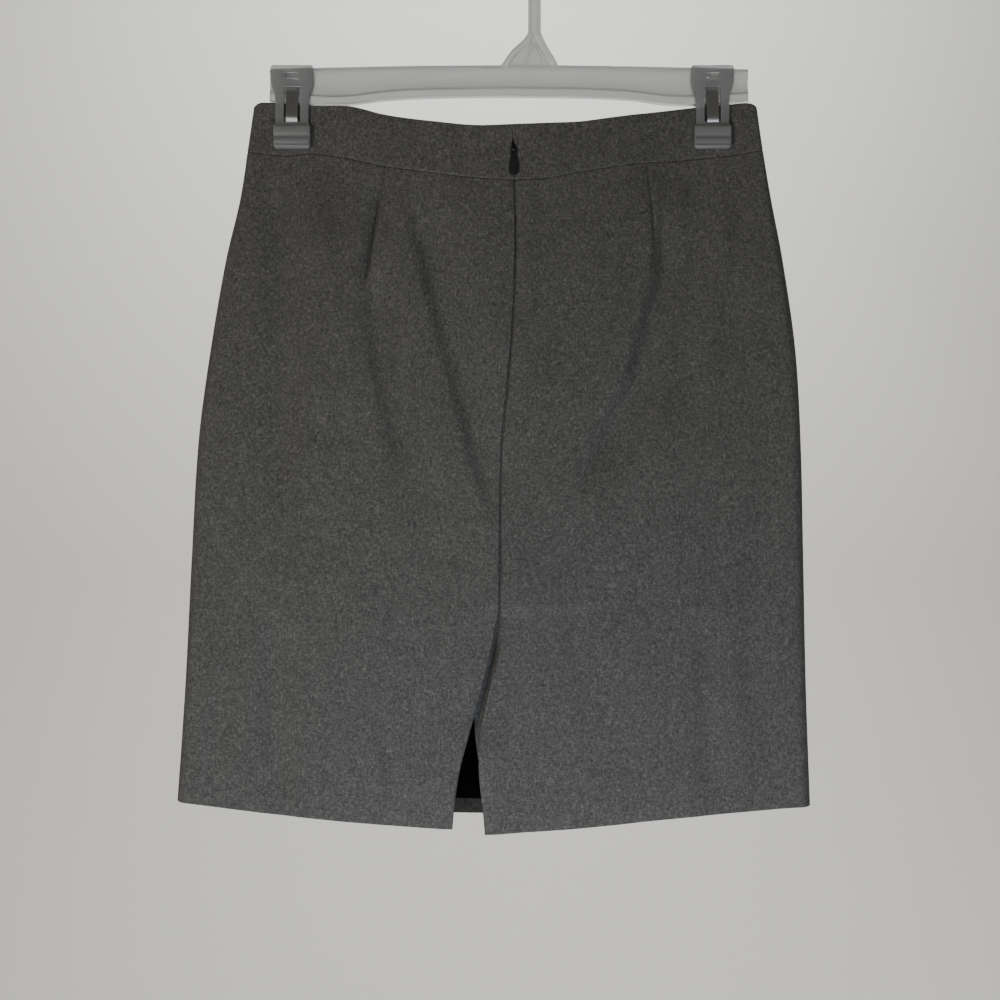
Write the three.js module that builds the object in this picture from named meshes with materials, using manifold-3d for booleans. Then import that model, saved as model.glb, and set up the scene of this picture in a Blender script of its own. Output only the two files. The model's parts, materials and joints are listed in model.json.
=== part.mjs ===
// A pencil skirt of grey wool flannel, hung back outward from a clear clip hanger.
// It has a shaped waistband, two back darts, a centre-back zip and a back slit with its turned-in facing.
// Units are millimetres and +Z is up. The origin is the inside top of the hanger's hook, where a rail holds it.
// +X is to the right of someone who looks at the skirt's back, and +Y points from its back to its front.
import * as THREE from "three";
import { mergeVertices } from "three/addons/utils/BufferGeometryUtils.js";
import Module from "manifold-3d";

const wasm = await Module();
wasm.setup();

// Driving sizes
const SEAM_GAP = 0.3; // between pieces that are sewn together or touch
const PANEL_WALL = 2; // wool flannel with its turnings
const BAND_WALL = 3; // doubled and interfaced
const LINING_WALL = 1;
const FACING_WIDTH = 26;
const FACING_TOP = 0.66; // shares of the way down the panel
const FACING_HEM = 0.998;
const ROLL_STEPS = 3; // columns round a side fold
const PANEL_COLUMNS = 20; // across one back panel
const FRONT_COLUMNS = 24; // across half of the front
const PANEL_ROWS = 22;
const FRONT_ROWS = 18;
const BAND_ROWS = 6;
const BAR_LENGTH = 358; // a 14 inch hanger
const BAR_CENTRE = 3;
const CLIP_CENTRES = [-159, 155];
const CLIP_GRIP = 3.2; // half of the pinched waistband's thickness
const CLIP_FLAT = 15; // the cloth lies flat this far each way from a clip's middle
const CLIP_FADE = 36; // and opens again over this
const CLIP_PINCH_TOP = -156;
const CLIP_PINCH_REACH = 70;

// The skirt's level sections: side folds, centre-back seam, how far each side bulges, and the side folds' radius.
const SECTIONS = [
  { z: -116, left: -187.5, right: 188, centre: 5, back: 13.6, front: 12.2, roll: 4.4 },
  { z: -154, left: -193, right: 193.5, centre: 6.2, back: 14.2, front: 12.6, roll: 4.8 },
  { z: -190, left: -198.5, right: 199.5, centre: 7.4, back: 15.4, front: 13.4, roll: 6 },
  { z: -235, left: -209, right: 208, centre: 8, back: 17.4, front: 14.8, roll: 7.5 },
  { z: -302, left: -220.5, right: 217.5, centre: 4.7, back: 20, front: 16.6, roll: 9 },
  { z: -370, left: -229.5, right: 221.5, centre: -2, back: 21.4, front: 17.8, roll: 9.5 },
  { z: -460, left: -234.8, right: 223.5, centre: -3.6, back: 22, front: 18.4, roll: 9.5 },
  { z: -550, left: -239.3, right: 225.3, centre: -4.6, back: 22.6, front: 18.8, roll: 9.2 },
  { z: -645, left: -245.7, right: 228.5, centre: -5.4, back: 23.2, front: 19.4, roll: 9 },
];

// Top edge, waist seam and hem of each back panel, by the share of the way out to its side fold.
const LEFT_LINES = [
  { out: 0, top: -136.8, seam: -178.2, hem: -656 },
  { out: 0.15, top: -137.3, seam: -176.4, hem: -655.2 },
  { out: 0.35, top: -132.8, seam: -171, hem: -652.6 },
  { out: 0.48, top: -128.6, seam: -166.8, hem: -650.6 },
  { out: 0.62, top: -121, seam: -159.6, hem: -648 },
  { out: 0.75, top: -119.9, seam: -156, hem: -645.4 },
  { out: 0.84, top: -118.8, seam: -157.6, hem: -643.6 },
  { out: 0.95, top: -117.7, seam: -155.6, hem: -641 },
  { out: 1, top: -120.5, seam: -155, hem: -640 },
];
const RIGHT_LINES = [
  { out: 0, top: -136.8, seam: -178.2, hem: -660 },
  { out: 0.12, top: -135.8, seam: -177, hem: -658.6 },
  { out: 0.26, top: -134.4, seam: -172, hem: -656.8 },
  { out: 0.4, top: -130.6, seam: -167, hem: -654 },
  { out: 0.54, top: -126.6, seam: -163.4, hem: -651 },
  { out: 0.7, top: -122.2, seam: -160.4, hem: -648 },
  { out: 0.86, top: -119.4, seam: -157.2, hem: -645.2 },
  { out: 0.95, top: -118.2, seam: -154.4, hem: -643.9 },
  { out: 1, top: -120.5, seam: -153, hem: -643.5 },
];
// The same lines on the front, from the left side fold (-1) to the right one (1).
const FRONT_LINES = [
  { across: -1, top: -120.5, seam: -155, hem: -640 },
  { across: -0.94, top: -118, seam: -155.2, hem: -641 },
  { across: -0.8, top: -119.4, seam: -156, hem: -643.6 },
  { across: -0.55, top: -125.4, seam: -163, hem: -648.4 },
  { across: -0.25, top: -134.4, seam: -172, hem: -652.6 },
  { across: 0, top: -137.6, seam: -175.6, hem: -654 },
  { across: 0.25, top: -134.6, seam: -172, hem: -653.2 },
  { across: 0.55, top: -126, seam: -163, hem: -650 },
  { across: 0.8, top: -119.6, seam: -156.4, hem: -646 },
  { across: 0.94, top: -118.2, seam: -153.8, hem: -644 },
  { across: 1, top: -120.5, seam: -153, hem: -643.5 },
];

// The open slit below the centre-back seam: the left panel's edge, the right panel's edge, and the right facing's edge.
const SLIT_TOP = -499;
const SLIT = [
  { z: SLIT_TOP, left: -4.6, right: -4.3, facing: -10 },
  { z: -526, left: -10.1, right: -5.4, facing: -14 },
  { z: -559, left: -18.4, right: -12.9, facing: -21.4 },
  { z: -585, left: -25.8, right: -18.4, facing: -22.6 },
  { z: -614, left: -33.5, right: -19.3, facing: -18.8 },
  { z: -640, left: -37.2, right: -16.6, facing: -15.8 },
  { z: -660, left: -39, right: -14.9, facing: -14.2 },
];

// Darts and soft creases as troughs along three points. A negative depth stands out as a ridge.
const BACK_FOLDS = [
  { name: "left dart", x1: -88, z1: -160, x2: -97, z2: -212, x3: -103, z3: -256, width: 4.5, depth: 2.1 },
  { name: "below left dart", x1: -104, z1: -232, x2: -99, z2: -292, x3: -86, z3: -350, width: 12, depth: 2.4 },
  { name: "left diagonal", x1: -76, z1: -190, x2: -48, z2: -279, x3: -12, z3: -418, width: 11, depth: 3 },
  { name: "right dart", x1: 105, z1: -158, x2: 110, z2: -200, x3: 111, z3: -242, width: 4.5, depth: 1.6 },
  { name: "below right dart", x1: 113, z1: -205, x2: 102, z2: -292, x3: 64, z3: -388, width: 11, depth: 3 },
  { name: "right second", x1: 142, z1: -205, x2: 131, z2: -285, x3: 106, z3: -385, width: 11, depth: 1.8 },
  { name: "left side", x1: -176, z1: -150, x2: -183, z2: -330, x3: -178, z3: -665, width: 15, depth: 2.4 },
  { name: "right lower", x1: 134, z1: -480, x2: 137, z2: -565, x3: 137, z3: -670, width: 14, depth: 1.5 },
  { name: "left lower", x1: -104, z1: -540, x2: -97, z2: -600, x3: -90, z3: -670, width: 10, depth: 1.1 },
  { name: "slit left flare", x1: -22, z1: -570, x2: -32, z2: -620, x3: -42, z3: -700, width: 20, depth: -2.6 },
  { name: "slit right flare", x1: -16, z1: -570, x2: -12, z2: -620, x3: -8, z3: -700, width: 20, depth: -2.2 },
];
const FRONT_FOLDS = [
  { name: "left clip", x1: -150, z1: -158, x2: -122, z2: -262, x3: -82, z3: -390, width: 13, depth: 2.2 },
  { name: "left inner", x1: -96, z1: -176, x2: -84, z2: -240, x3: -66, z3: -310, width: 9, depth: 1.4 },
  { name: "right clip", x1: 148, z1: -156, x2: 124, z2: -250, x3: 92, z3: -352, width: 12, depth: 2 },
  { name: "left side", x1: -180, z1: -170, x2: -190, z2: -340, x3: -186, z3: -660, width: 15, depth: 2 },
  { name: "right side", x1: 176, z1: -220, x2: 184, z2: -400, x3: 180, z3: -670, width: 16, depth: 1.8 },
  { name: "lower middle", x1: 22, z1: -470, x2: 12, z2: -560, x3: 16, z3: -672, width: 18, depth: 1.6 },
  { name: "lower left", x1: -96, z1: -520, x2: -104, z2: -590, x3: -108, z3: -668, width: 13, depth: 1.2 },
];

// Zip
const ZIP_TOP = -145;
const ZIP_LENGTH = 178; // a 7 inch zip
const PULL_HINGE_Z = -156;
const ZIP_OPEN_HALF = 1.15; // the waistband's edges part by this much each way round the slider
const ZIP_OPEN_REACH = 8.5;
const TAPE_WIDTH = 12;
const TAPE_WALL = 1;
const TAPE_ROWS = 14;
const SLIDER = { width: 6.4, height: 10, depth: 2.8 };
const BAIL = { inner: 1.4, outer: 2.3, width: 1.4 };
const PULL = { wall: 1.2, clear: 0.5, bar: 0.75, length: 19.5, width: 7.6, eyeWidth: 4.8, holeWidth: 2.1, holeLength: 2.1 };

const COLOURS = {
  wool: new THREE.MeshStandardMaterial({ color: 0x565653, roughness: 0.95, metalness: 0 }),
  lining: new THREE.MeshStandardMaterial({ color: 0x08080a, roughness: 0.55, metalness: 0 }),
  zip: new THREE.MeshStandardMaterial({ color: 0x141316, roughness: 0.7, metalness: 0 }),
  zipMetal: new THREE.MeshStandardMaterial({ color: 0x252328, roughness: 0.35, metalness: 0.4 }),
  clear: new THREE.MeshStandardMaterial({ color: 0xc9c8c1, roughness: 0.25, metalness: 0 }),
  steel: new THREE.MeshStandardMaterial({ color: 0x9a9a98, roughness: 0.3, metalness: 1 }),
};

// A table's column at a place between its rows, on one smooth curve through them.
function read(table, along, column, place) {
  const last = table.length - 1;
  const sense = Math.sign(table[last][along] - table[0][along]);
  let row = 0;
  while (row < last - 1 && sense * (place - table[row + 1][along]) > 0) row++;
  const slope = (k) => {
    const before = table[Math.max(k - 1, 0)];
    const after = table[Math.min(k + 1, last)];
    return (after[column] - before[column]) / (after[along] - before[along]);
  };
  const from = table[row];
  const to = table[row + 1];
  const span = to[along] - from[along];
  const t = (place - from[along]) / span;
  const rise = t * t * (3 - 2 * t);
  const leave = t * (1 - t) * (1 - t) * span * slope(row);
  const arrive = t * t * (t - 1) * span * slope(row + 1);
  return from[column] * (1 - rise) + to[column] * rise + leave + arrive;
}

const evenly = (count, from = 0, to = 1) => Array.from({ length: count + 1 }, (_, i) => mix(from, to, i / count));
const section = (column, z) => read(SECTIONS, "z", column, z);
const mix = (a, b, t) => a + (b - a) * t;
const ease = (t) => {
  const c = Math.min(Math.max(t, 0), 1);
  return c * c * (3 - 2 * c);
};

// How far a fold sinks the cloth at a point: a rounded trough along a bent line, which fades at both ends.
function sink(fold, x, z) {
  const legs = [
    [fold.x1, fold.z1, fold.x2, fold.z2],
    [fold.x2, fold.z2, fold.x3, fold.z3],
  ];
  const lengths = legs.map(([ax, az, bx, bz]) => Math.hypot(bx - ax, bz - az));
  let nearest = Infinity;
  let along = 0;
  legs.forEach(([ax, az, bx, bz], i) => {
    const t = ((x - ax) * (bx - ax) + (z - az) * (bz - az)) / lengths[i] ** 2;
    const c = Math.min(Math.max(t, 0), 1);
    const away = Math.hypot(x - mix(ax, bx, c), z - mix(az, bz, c));
    if (away < nearest) {
      nearest = away;
      along = (i * lengths[0] + c * lengths[i]) / (lengths[0] + lengths[1]);
    }
  });
  const fade = ease(along / 0.25) * ease((1 - along) / 0.25);
  return fold.depth * fade * Math.exp(-((nearest / fold.width) ** 2));
}

// How much the clips pinch the cloth at a point, from 0 to 1.
function pinch(x, z) {
  const below = ease((CLIP_PINCH_TOP - z) / CLIP_PINCH_REACH);
  const nearest = Math.min(...CLIP_CENTRES.map((centre) => Math.abs(x - centre)));
  return (1 - below) * Math.exp(-((Math.max(nearest - CLIP_FLAT, 0) / CLIP_FADE) ** 2));
}

// How far the cloth's outer face stands from the plane of the side folds, past the side folds' own rounding.
function bulge(side, x, z) {
  const left = section("left", z);
  const right = section("right", z);
  const roll = section("roll", z);
  const inward = Math.min(x - left, right - x) - roll;
  const t = Math.min(Math.max(inward / ((right - left) / 2 - roll), 0), 1);
  const full = mix(roll, section(side, z), Math.sin((Math.PI / 2) * t) ** 1.3);
  const folds = side === "back" ? BACK_FOLDS : FRONT_FOLDS;
  const sunk = folds.reduce((sum, fold) => sum + sink(fold, x, z), 0);
  const fromFold = ease(inward / 20);
  return mix(full - sunk * fromFold, CLIP_GRIP, pinch(x, z));
}

// A point of the cloth's outer face on one level. Column 0 is the side fold, and column 1 where its rounding ends.
function facePoint(side, fold, edge, column, z) {
  const out = side === "back" ? -1 : 1;
  const inwards = Math.sign(edge - fold);
  const roll = section("roll", z);
  if (column < 1) {
    const angle = (column * Math.PI) / 2;
    const x = fold + inwards * roll * (1 - Math.cos(angle));
    const grip = mix(roll, bulge(side, fold + inwards * roll, z), ease(column));
    return new THREE.Vector3(x, out * (SEAM_GAP / 2 + grip * Math.sin(angle)), z);
  }
  const x = mix(fold + inwards * roll, edge, column - 1);
  return new THREE.Vector3(x, out * (SEAM_GAP / 2 + bulge(side, x, z)), z);
}

// The columns of a panel from its side fold inwards, as facePoint counts them. They are drawn together at both edges
// and at the middle, where the darts are.
function columnsOf(count, crowding) {
  const rolled = evenly(ROLL_STEPS).slice(0, -1);
  const turn = 4 * Math.PI;
  return [...rolled, ...evenly(count).map((t) => 1 + t - (crowding * Math.sin(turn * t)) / turn)];
}

// The half of the centre-back gap at a level: sewn shut, but parted round the zip's slider.
function halfGap(z) {
  const near = (z - PULL_HINGE_Z) / ZIP_OPEN_REACH;
  return SEAM_GAP / 2 + ZIP_OPEN_HALF * Math.exp(-(near ** 4));
}

// Where a back panel ends at the centre: along the seam, and below it along the slit.
function centreEdge(half, z) {
  const way = half === "left" ? -1 : 1;
  if (z > SLIT_TOP) return section("centre", z) + way * halfGap(z);
  return read(SLIT, "z", half, z);
}

// The share of the way out to the side fold, for the tables of lines.
const outShare = (column) => (column < 1 ? 1 - 0.04 * (1 - Math.cos((column * Math.PI) / 2)) : mix(0.96, 0, column - 1));

// A point of a back panel or of its waistband. Down runs from 0 at the upper line to 1 at the lower line.
function backPoint(half, upper, lower, column, down) {
  const lines = half === "left" ? LEFT_LINES : RIGHT_LINES;
  const out = outShare(column);
  const top = read(lines, "out", upper.line, out) + upper.shift;
  const bottom = read(lines, "out", lower.line, out) + lower.shift;
  const z = mix(top, bottom, down);
  return facePoint("back", section(half, z), centreEdge(half, z), column, z);
}

// A point of the front or its waistband. Column runs from -2 at the left side fold to 2 at the right one.
function frontPoint(upper, lower, column, down) {
  const half = column < 0 ? "left" : "right";
  const inner = 2 - Math.abs(column);
  const across = Math.sign(column) * outShare(inner);
  const top = read(FRONT_LINES, "across", upper.line, across) + upper.shift;
  const bottom = read(FRONT_LINES, "across", lower.line, across) + lower.shift;
  const z = mix(top, bottom, down);
  const middle = (section("left", z) + section("right", z)) / 2;
  return facePoint("front", section(half, z), middle, inner, z);
}

// The outward normal of a face at a point of its grid, from its neighbours just beside it.
function normalAt(face, across, down, outward) {
  const step = 1e-3;
  const alongAcross = face(across + step, down).sub(face(across - step, down));
  const alongDown = face(across, down + step).sub(face(across, down - step));
  return alongAcross.cross(alongDown).normalize().multiplyScalar(outward);
}

// A closed wall between two depths under a face, which is given as a function of two grid numbers.
function wall(face, acrossList, downList, depths, outward) {
  const positions = [];
  for (const depth of depths)
    for (const down of downList)
      for (const across of acrossList) {
        const deep = typeof depth === "function" ? depth(across, down) : depth;
        const point = face(across, down);
        point.addScaledVector(normalAt(face, across, down, outward), -deep);
        positions.push(point.x, point.y, point.z);
      }
  const columns = acrossList.length;
  const rows = downList.length;
  const at = (layer, row, column) => (layer * rows + row) * columns + column;
  const faces = [];
  const quad = (a, b, c, d) => faces.push(...(outward > 0 ? [a, b, c, a, c, d] : [a, c, b, a, d, c]));
  for (let row = 0; row < rows - 1; row++)
    for (let column = 0; column < columns - 1; column++) {
      quad(at(0, row, column), at(0, row, column + 1), at(0, row + 1, column + 1), at(0, row + 1, column));
      quad(at(1, row, column), at(1, row + 1, column), at(1, row + 1, column + 1), at(1, row, column + 1));
    }
  for (let column = 0; column < columns - 1; column++) {
    const end = rows - 1;
    quad(at(0, 0, column), at(1, 0, column), at(1, 0, column + 1), at(0, 0, column + 1));
    quad(at(0, end, column), at(0, end, column + 1), at(1, end, column + 1), at(1, end, column));
  }
  for (let row = 0; row < rows - 1; row++) {
    const end = columns - 1;
    quad(at(0, row, 0), at(0, row + 1, 0), at(1, row + 1, 0), at(1, row, 0));
    quad(at(0, row, end), at(1, row, end), at(1, row + 1, end), at(0, row + 1, end));
  }
  const geometry = new THREE.BufferGeometry();
  geometry.setAttribute("position", new THREE.Float32BufferAttribute(positions, 3));
  geometry.setIndex(faces);
  geometry.computeVertexNormals();
  return geometry;
}

// Closed meshes joined to one, or cut from one.
function solidOf(geometry) {
  const bare = geometry.clone();
  bare.deleteAttribute("normal");
  bare.deleteAttribute("uv");
  const merged = mergeVertices(bare, 1e-4);
  const vertProperties = new Float32Array(merged.attributes.position.array);
  return new wasm.Manifold(new wasm.Mesh({ numProp: 3, vertProperties, triVerts: new Uint32Array(merged.index.array) }));
}

function geometryOf(solid) {
  const mesh = solid.getMesh();
  const geometry = new THREE.BufferGeometry();
  geometry.setAttribute("position", new THREE.Float32BufferAttribute(mesh.vertProperties, 3));
  geometry.setIndex([...mesh.triVerts]);
  geometry.computeVertexNormals();
  return geometry;
}

function joined(geometries, cuts = []) {
  const whole = geometries.map(solidOf).reduce((sum, solid) => sum.add(solid));
  return geometryOf(cuts.map(solidOf).reduce((rest, solid) => rest.subtract(solid), whole));
}

// A flat outline in X and Z, given its thickness along Y between two places.
function slab(shape, yFrom, yTo, curveSegments = 12) {
  const geometry = new THREE.ExtrudeGeometry(shape, { depth: yTo - yFrom, bevelEnabled: false, curveSegments });
  return geometry.rotateX(Math.PI / 2).translate(0, yTo, 0);
}

// An outline in Y and Z, given its width along X about a centre.
function profile(shape, width, curveSegments = 8) {
  const geometry = new THREE.ExtrudeGeometry(shape, { depth: width, bevelEnabled: false, curveSegments });
  geometry.translate(0, 0, -width / 2);
  return geometry.applyMatrix4(new THREE.Matrix4().set(0, 0, 1, 0, 1, 0, 0, 0, 0, 1, 0, 0, 0, 0, 0, 1));
}

const outline = (points) => new THREE.Shape(points.map(([a, b]) => new THREE.Vector2(a, b)));
const rectangle = (left, right, foot, top) => outline([[left, foot], [right, foot], [right, top], [left, top]]);

const skirt = new THREE.Group();
function add(name, geometry, material) {
  const mesh = new THREE.Mesh(geometry, material);
  mesh.name = name;
  skirt.add(mesh);
  return mesh;
}

// Cloth panels and waistband
const line = (name, shift = 0) => ({ line: name, shift });
const HALF_SEAM = SEAM_GAP / 2;
const BACK_COLUMNS = columnsOf(PANEL_COLUMNS, 0.5);
const BACK_DOWN = evenly(PANEL_ROWS);
const FRONT_HALF = columnsOf(FRONT_COLUMNS / 2, 0);
const FRONT_DOWN = evenly(FRONT_ROWS);
const FRONT_ACROSS = [...FRONT_HALF.map((c) => c - 2), ...FRONT_HALF.slice(0, -1).map((c) => 2 - c).reverse()];

for (const half of ["left", "right"]) {
  const outward = half === "left" ? -1 : 1;
  const panel = (c, d) => backPoint(half, line("seam", -HALF_SEAM), line("hem"), c, d);
  const band = (c, d) => backPoint(half, line("top"), line("seam", HALF_SEAM), c, d);
  add(`back_${half}`, wall(panel, BACK_COLUMNS, BACK_DOWN, [0, PANEL_WALL], outward), COLOURS.wool);
  add(`waistband_back_${half}`, wall(band, BACK_COLUMNS, evenly(BAND_ROWS), [0, BAND_WALL], outward), COLOURS.wool);
}
const frontFace = (c, d) => frontPoint(line("seam", -HALF_SEAM), line("hem"), c, d);
const frontBand = (c, d) => frontPoint(line("top"), line("seam", HALF_SEAM), c, d);
add("front", wall(frontFace, FRONT_ACROSS, FRONT_DOWN, [0, PANEL_WALL], 1), COLOURS.wool);
add("waistband_front", wall(frontBand, FRONT_ACROSS, evenly(BAND_ROWS / 2), [0, BAND_WALL], 1), COLOURS.wool);

// Lining, which shows behind the slit: it hangs inside the front and drifts away from it towards its own hem.
const LINING_HEM = 0.974; // share of the way down the front
const LINING_DRIFT = 4;
const LINING_ACROSS = FRONT_ACROSS.filter((c) => Math.abs(c) <= 1);
const LINING_DOWN = [...FRONT_DOWN.slice(0, -1), LINING_HEM];
const liningDepth = (extra) => (c, d) => PANEL_WALL + SEAM_GAP + LINING_DRIFT * ease(d) * ease(4 * (1 - Math.abs(c))) + extra;
const liningDepths = [liningDepth(0), liningDepth(LINING_WALL)];
add("lining_front", wall(frontFace, LINING_ACROSS, LINING_DOWN, liningDepths, 1), COLOURS.lining);

// Facing of the slit's right edge. It lies behind the right panel, and its own edge shows in the upper slit.
const backSkin = (x, z) => new THREE.Vector3(x, -(SEAM_GAP / 2 + bulge("back", x, z)), z);
const FACING_DEPTH = PANEL_WALL + SEAM_GAP;
const FACING_DOWN = [...BACK_DOWN.filter((d) => d > FACING_TOP && d < 1), FACING_HEM];
function facingPoint(across, down) {
  const edge = backPoint("right", line("seam", -HALF_SEAM), line("hem"), 2, down);
  return backSkin(mix(read(SLIT, "z", "facing", edge.z), edge.x + FACING_WIDTH, across), edge.z);
}
const facingDepths = [FACING_DEPTH, FACING_DEPTH + PANEL_WALL];
add("slit_facing_right", wall(facingPoint, evenly(6), FACING_DOWN, facingDepths, -1), COLOURS.wool);

// Zip: two tapes behind the centre-back edges, the closed coil, and the slider with its bail
const TAPE_DEPTH = BAND_WALL + SEAM_GAP;
const SLIDER_DEPTH = TAPE_DEPTH + TAPE_WALL + SEAM_GAP;
for (const [half, way] of [["left", -1], ["right", 1]]) {
  const tape = (across, down) => {
    const z = mix(ZIP_TOP, ZIP_TOP - ZIP_LENGTH, down);
    return backSkin(section("centre", z) + way * (halfGap(z) + mix(0.3, TAPE_WIDTH, across)), z);
  };
  add(`zip_tape_${half}`, wall(tape, evenly(2), evenly(TAPE_ROWS), [TAPE_DEPTH, TAPE_DEPTH + TAPE_WALL], -way), COLOURS.zip);
}
const COIL_HALF = 1.6;
const COIL_TOP = PULL_HINGE_Z - SLIDER.height / 2 - SEAM_GAP;
const coil = (across, down) => {
  const z = mix(COIL_TOP, ZIP_TOP - ZIP_LENGTH, down);
  return backSkin(section("centre", z) + mix(-COIL_HALF, COIL_HALF, across), z);
};
add("zip_coil", wall(coil, evenly(1), evenly(TAPE_ROWS), [SLIDER_DEPTH, SLIDER_DEPTH + 1.4], -1), COLOURS.zip);

const hingeX = section("centre", PULL_HINGE_Z);
const skinY = -(SEAM_GAP / 2 + bulge("back", hingeX, PULL_HINGE_Z));
const pullFootZ = PULL_HINGE_Z - PULL.length;
const pullFootSkin = -(SEAM_GAP / 2 + bulge("back", hingeX, pullFootZ));
const hingeY = Math.min(skinY, pullFootSkin) - PULL.clear - PULL.wall / 2;
const sliderOuter = skinY + SLIDER_DEPTH;

// The bail is a staple in Y and Z round the hinge line, with its legs in the slider's body.
function bailShape() {
  const shape = new THREE.Shape();
  const root = sliderOuter + SLIDER.depth / 2;
  shape.moveTo(root, PULL_HINGE_Z - BAIL.outer);
  shape.lineTo(hingeY, PULL_HINGE_Z - BAIL.outer);
  shape.absarc(hingeY, PULL_HINGE_Z, BAIL.outer, -Math.PI / 2, Math.PI / 2, true);
  shape.lineTo(root, PULL_HINGE_Z + BAIL.outer);
  shape.lineTo(root, PULL_HINGE_Z + BAIL.inner);
  shape.lineTo(hingeY, PULL_HINGE_Z + BAIL.inner);
  shape.absarc(hingeY, PULL_HINGE_Z, BAIL.inner, Math.PI / 2, -Math.PI / 2, false);
  shape.lineTo(root, PULL_HINGE_Z - BAIL.inner);
  return shape;
}
const sliderBody = new THREE.BoxGeometry(SLIDER.width, SLIDER.depth, SLIDER.height);
sliderBody.translate(0, sliderOuter + SLIDER.depth / 2, PULL_HINGE_Z);
const slider = add("zip_slider", joined([sliderBody, profile(bailShape(), BAIL.width, 10)]), COLOURS.zipMetal);
slider.position.x = hingeX;

// The pull tab hangs from its eye's top bar, which is the hinge line, and widens to a rounded drop.
function pullShape() {
  const half = PULL.width / 2;
  const eye = PULL.eyeWidth / 2;
  const foot = -(PULL.length - PULL.width * 0.42);
  const shape = new THREE.Shape();
  shape.moveTo(-eye + 0.6, PULL.bar);
  shape.lineTo(eye - 0.6, PULL.bar);
  shape.lineTo(eye, PULL.bar - 0.7);
  shape.lineTo(eye - 0.5, -4.4);
  shape.bezierCurveTo(eye, -8, half, foot + 5, half, foot);
  shape.bezierCurveTo(half, foot - 2.6, 1.6, -PULL.length, 0, -PULL.length);
  shape.bezierCurveTo(-1.6, -PULL.length, -half, foot - 2.6, -half, foot);
  shape.bezierCurveTo(-half, foot + 5, -eye, -8, -eye + 0.5, -4.4);
  shape.lineTo(-eye, PULL.bar - 0.7);
  const w = PULL.holeWidth / 2;
  shape.holes.push(rectangle(-w, w, -PULL.bar - PULL.holeLength, -PULL.bar));
  return shape;
}
const pull = add("zip_pull", slab(pullShape(), -PULL.wall / 2, PULL.wall / 2, 8), COLOURS.zipMetal);
pull.position.set(hingeX, hingeY, PULL_HINGE_Z);

// Hanger: one clear moulding of bar, gusset, stem and hook
const HOOK = { radius: 22.1, width: 9.4, depth: 5, sweep: 198 };
const HOOK_CENTRE_Z = -(HOOK.radius - HOOK.width / 2);
const BAR_TOP = -89.5;
const BAR_SAG = 3;
const WEB = 2.2;
const TOP_RIB = { height: 2.4, depth: 5.2 };
const FOOT_RIB = { height: 7, depth: 6.4 };
const NECK_Z = -66;
const CLIP_SLOT = { width: 10.4, top: -95.4, foot: -100.8 };
const BAR_FOOT = [
  { out: 0, z: -112.8 },
  { out: 60, z: -113.6 },
  { out: 95, z: -115.6 },
  { out: 118, z: -118.6 },
  { out: 142, z: -118.9 },
  { out: 179, z: -116.4 },
];

const barTop = (x) => BAR_TOP - BAR_SAG * ((x - BAR_CENTRE) / (BAR_LENGTH / 2)) ** 2;
const barFoot = (x) => read(BAR_FOOT, "out", "z", Math.abs(x - BAR_CENTRE));

// A stretch of the bar between two heights that follow its edges.
function barStrip(upper, lower, depth, inset = 0) {
  const xs = evenly(24, BAR_CENTRE - BAR_LENGTH / 2 + inset, BAR_CENTRE + BAR_LENGTH / 2 - inset);
  const points = [...xs.map((x) => [x, upper(x)]), ...[...xs].reverse().map((x) => [x, lower(x)])];
  return slab(outline(points), -depth / 2, depth / 2);
}

function hookShape() {
  const inner = HOOK.radius - HOOK.width / 2;
  const outer = HOOK.radius + HOOK.width / 2;
  const end = THREE.MathUtils.degToRad(HOOK.sweep);
  const shape = new THREE.Shape();
  shape.moveTo(inner, NECK_Z - 8);
  shape.lineTo(outer, NECK_Z - 8);
  shape.lineTo(outer, HOOK_CENTRE_Z);
  shape.absarc(0, HOOK_CENTRE_Z, outer, 0, end, false);
  const tipX = HOOK.radius * Math.cos(end);
  const tipZ = HOOK_CENTRE_Z + HOOK.radius * Math.sin(end);
  shape.absarc(tipX, tipZ, HOOK.width / 2, end, end + Math.PI, false);
  shape.absarc(0, HOOK_CENTRE_Z, inner, end, 0, true);
  return shape;
}

// The gusset under the stem has thick rims, and a thin web in its two pockets.
const gusset = outline([
  [-3, BAR_TOP - 1],
  [1.6, -84.4],
  [5.4, -78.4],
  [14.8, -70],
  [HOOK.radius - HOOK.width / 2, NECK_Z],
  [HOOK.radius + HOOK.width / 2, NECK_Z],
  [31, -76],
  [36.4, -84.4],
  [40, BAR_TOP - 1],
]);
const POCKETS = [
  outline([[3.4, -88.6], [8.6, -80], [14.4, -74.6], [14.2, -79.2], [14.8, -88.6]]),
  outline([[19.2, -88.6], [18.8, -79.8], [22.6, -75.2], [25, -80.4], [27.6, -88.6]]),
];
const pocketCuts = POCKETS.flatMap((pocket) => [slab(pocket, -5, -WEB / 2), slab(pocket, WEB / 2, 5)]);
const slotAt = (centre) => {
  const half = CLIP_SLOT.width / 2;
  return slab(rectangle(centre - half, centre + half, CLIP_SLOT.foot, CLIP_SLOT.top), -5, 5);
};
const hanger = joined(
  [
    barStrip(barTop, barFoot, WEB),
    barStrip(barTop, (x) => barTop(x) - TOP_RIB.height, TOP_RIB.depth),
    barStrip((x) => barFoot(x) + FOOT_RIB.height, barFoot, FOOT_RIB.depth),
    slab(gusset, -HOOK.depth / 2, HOOK.depth / 2),
    slab(hookShape(), -HOOK.depth / 2, HOOK.depth / 2, 20),
  ],
  [...CLIP_CENTRES.map(slotAt), ...pocketCuts],
);
add("hanger", hanger, COLOURS.clear);

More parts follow.
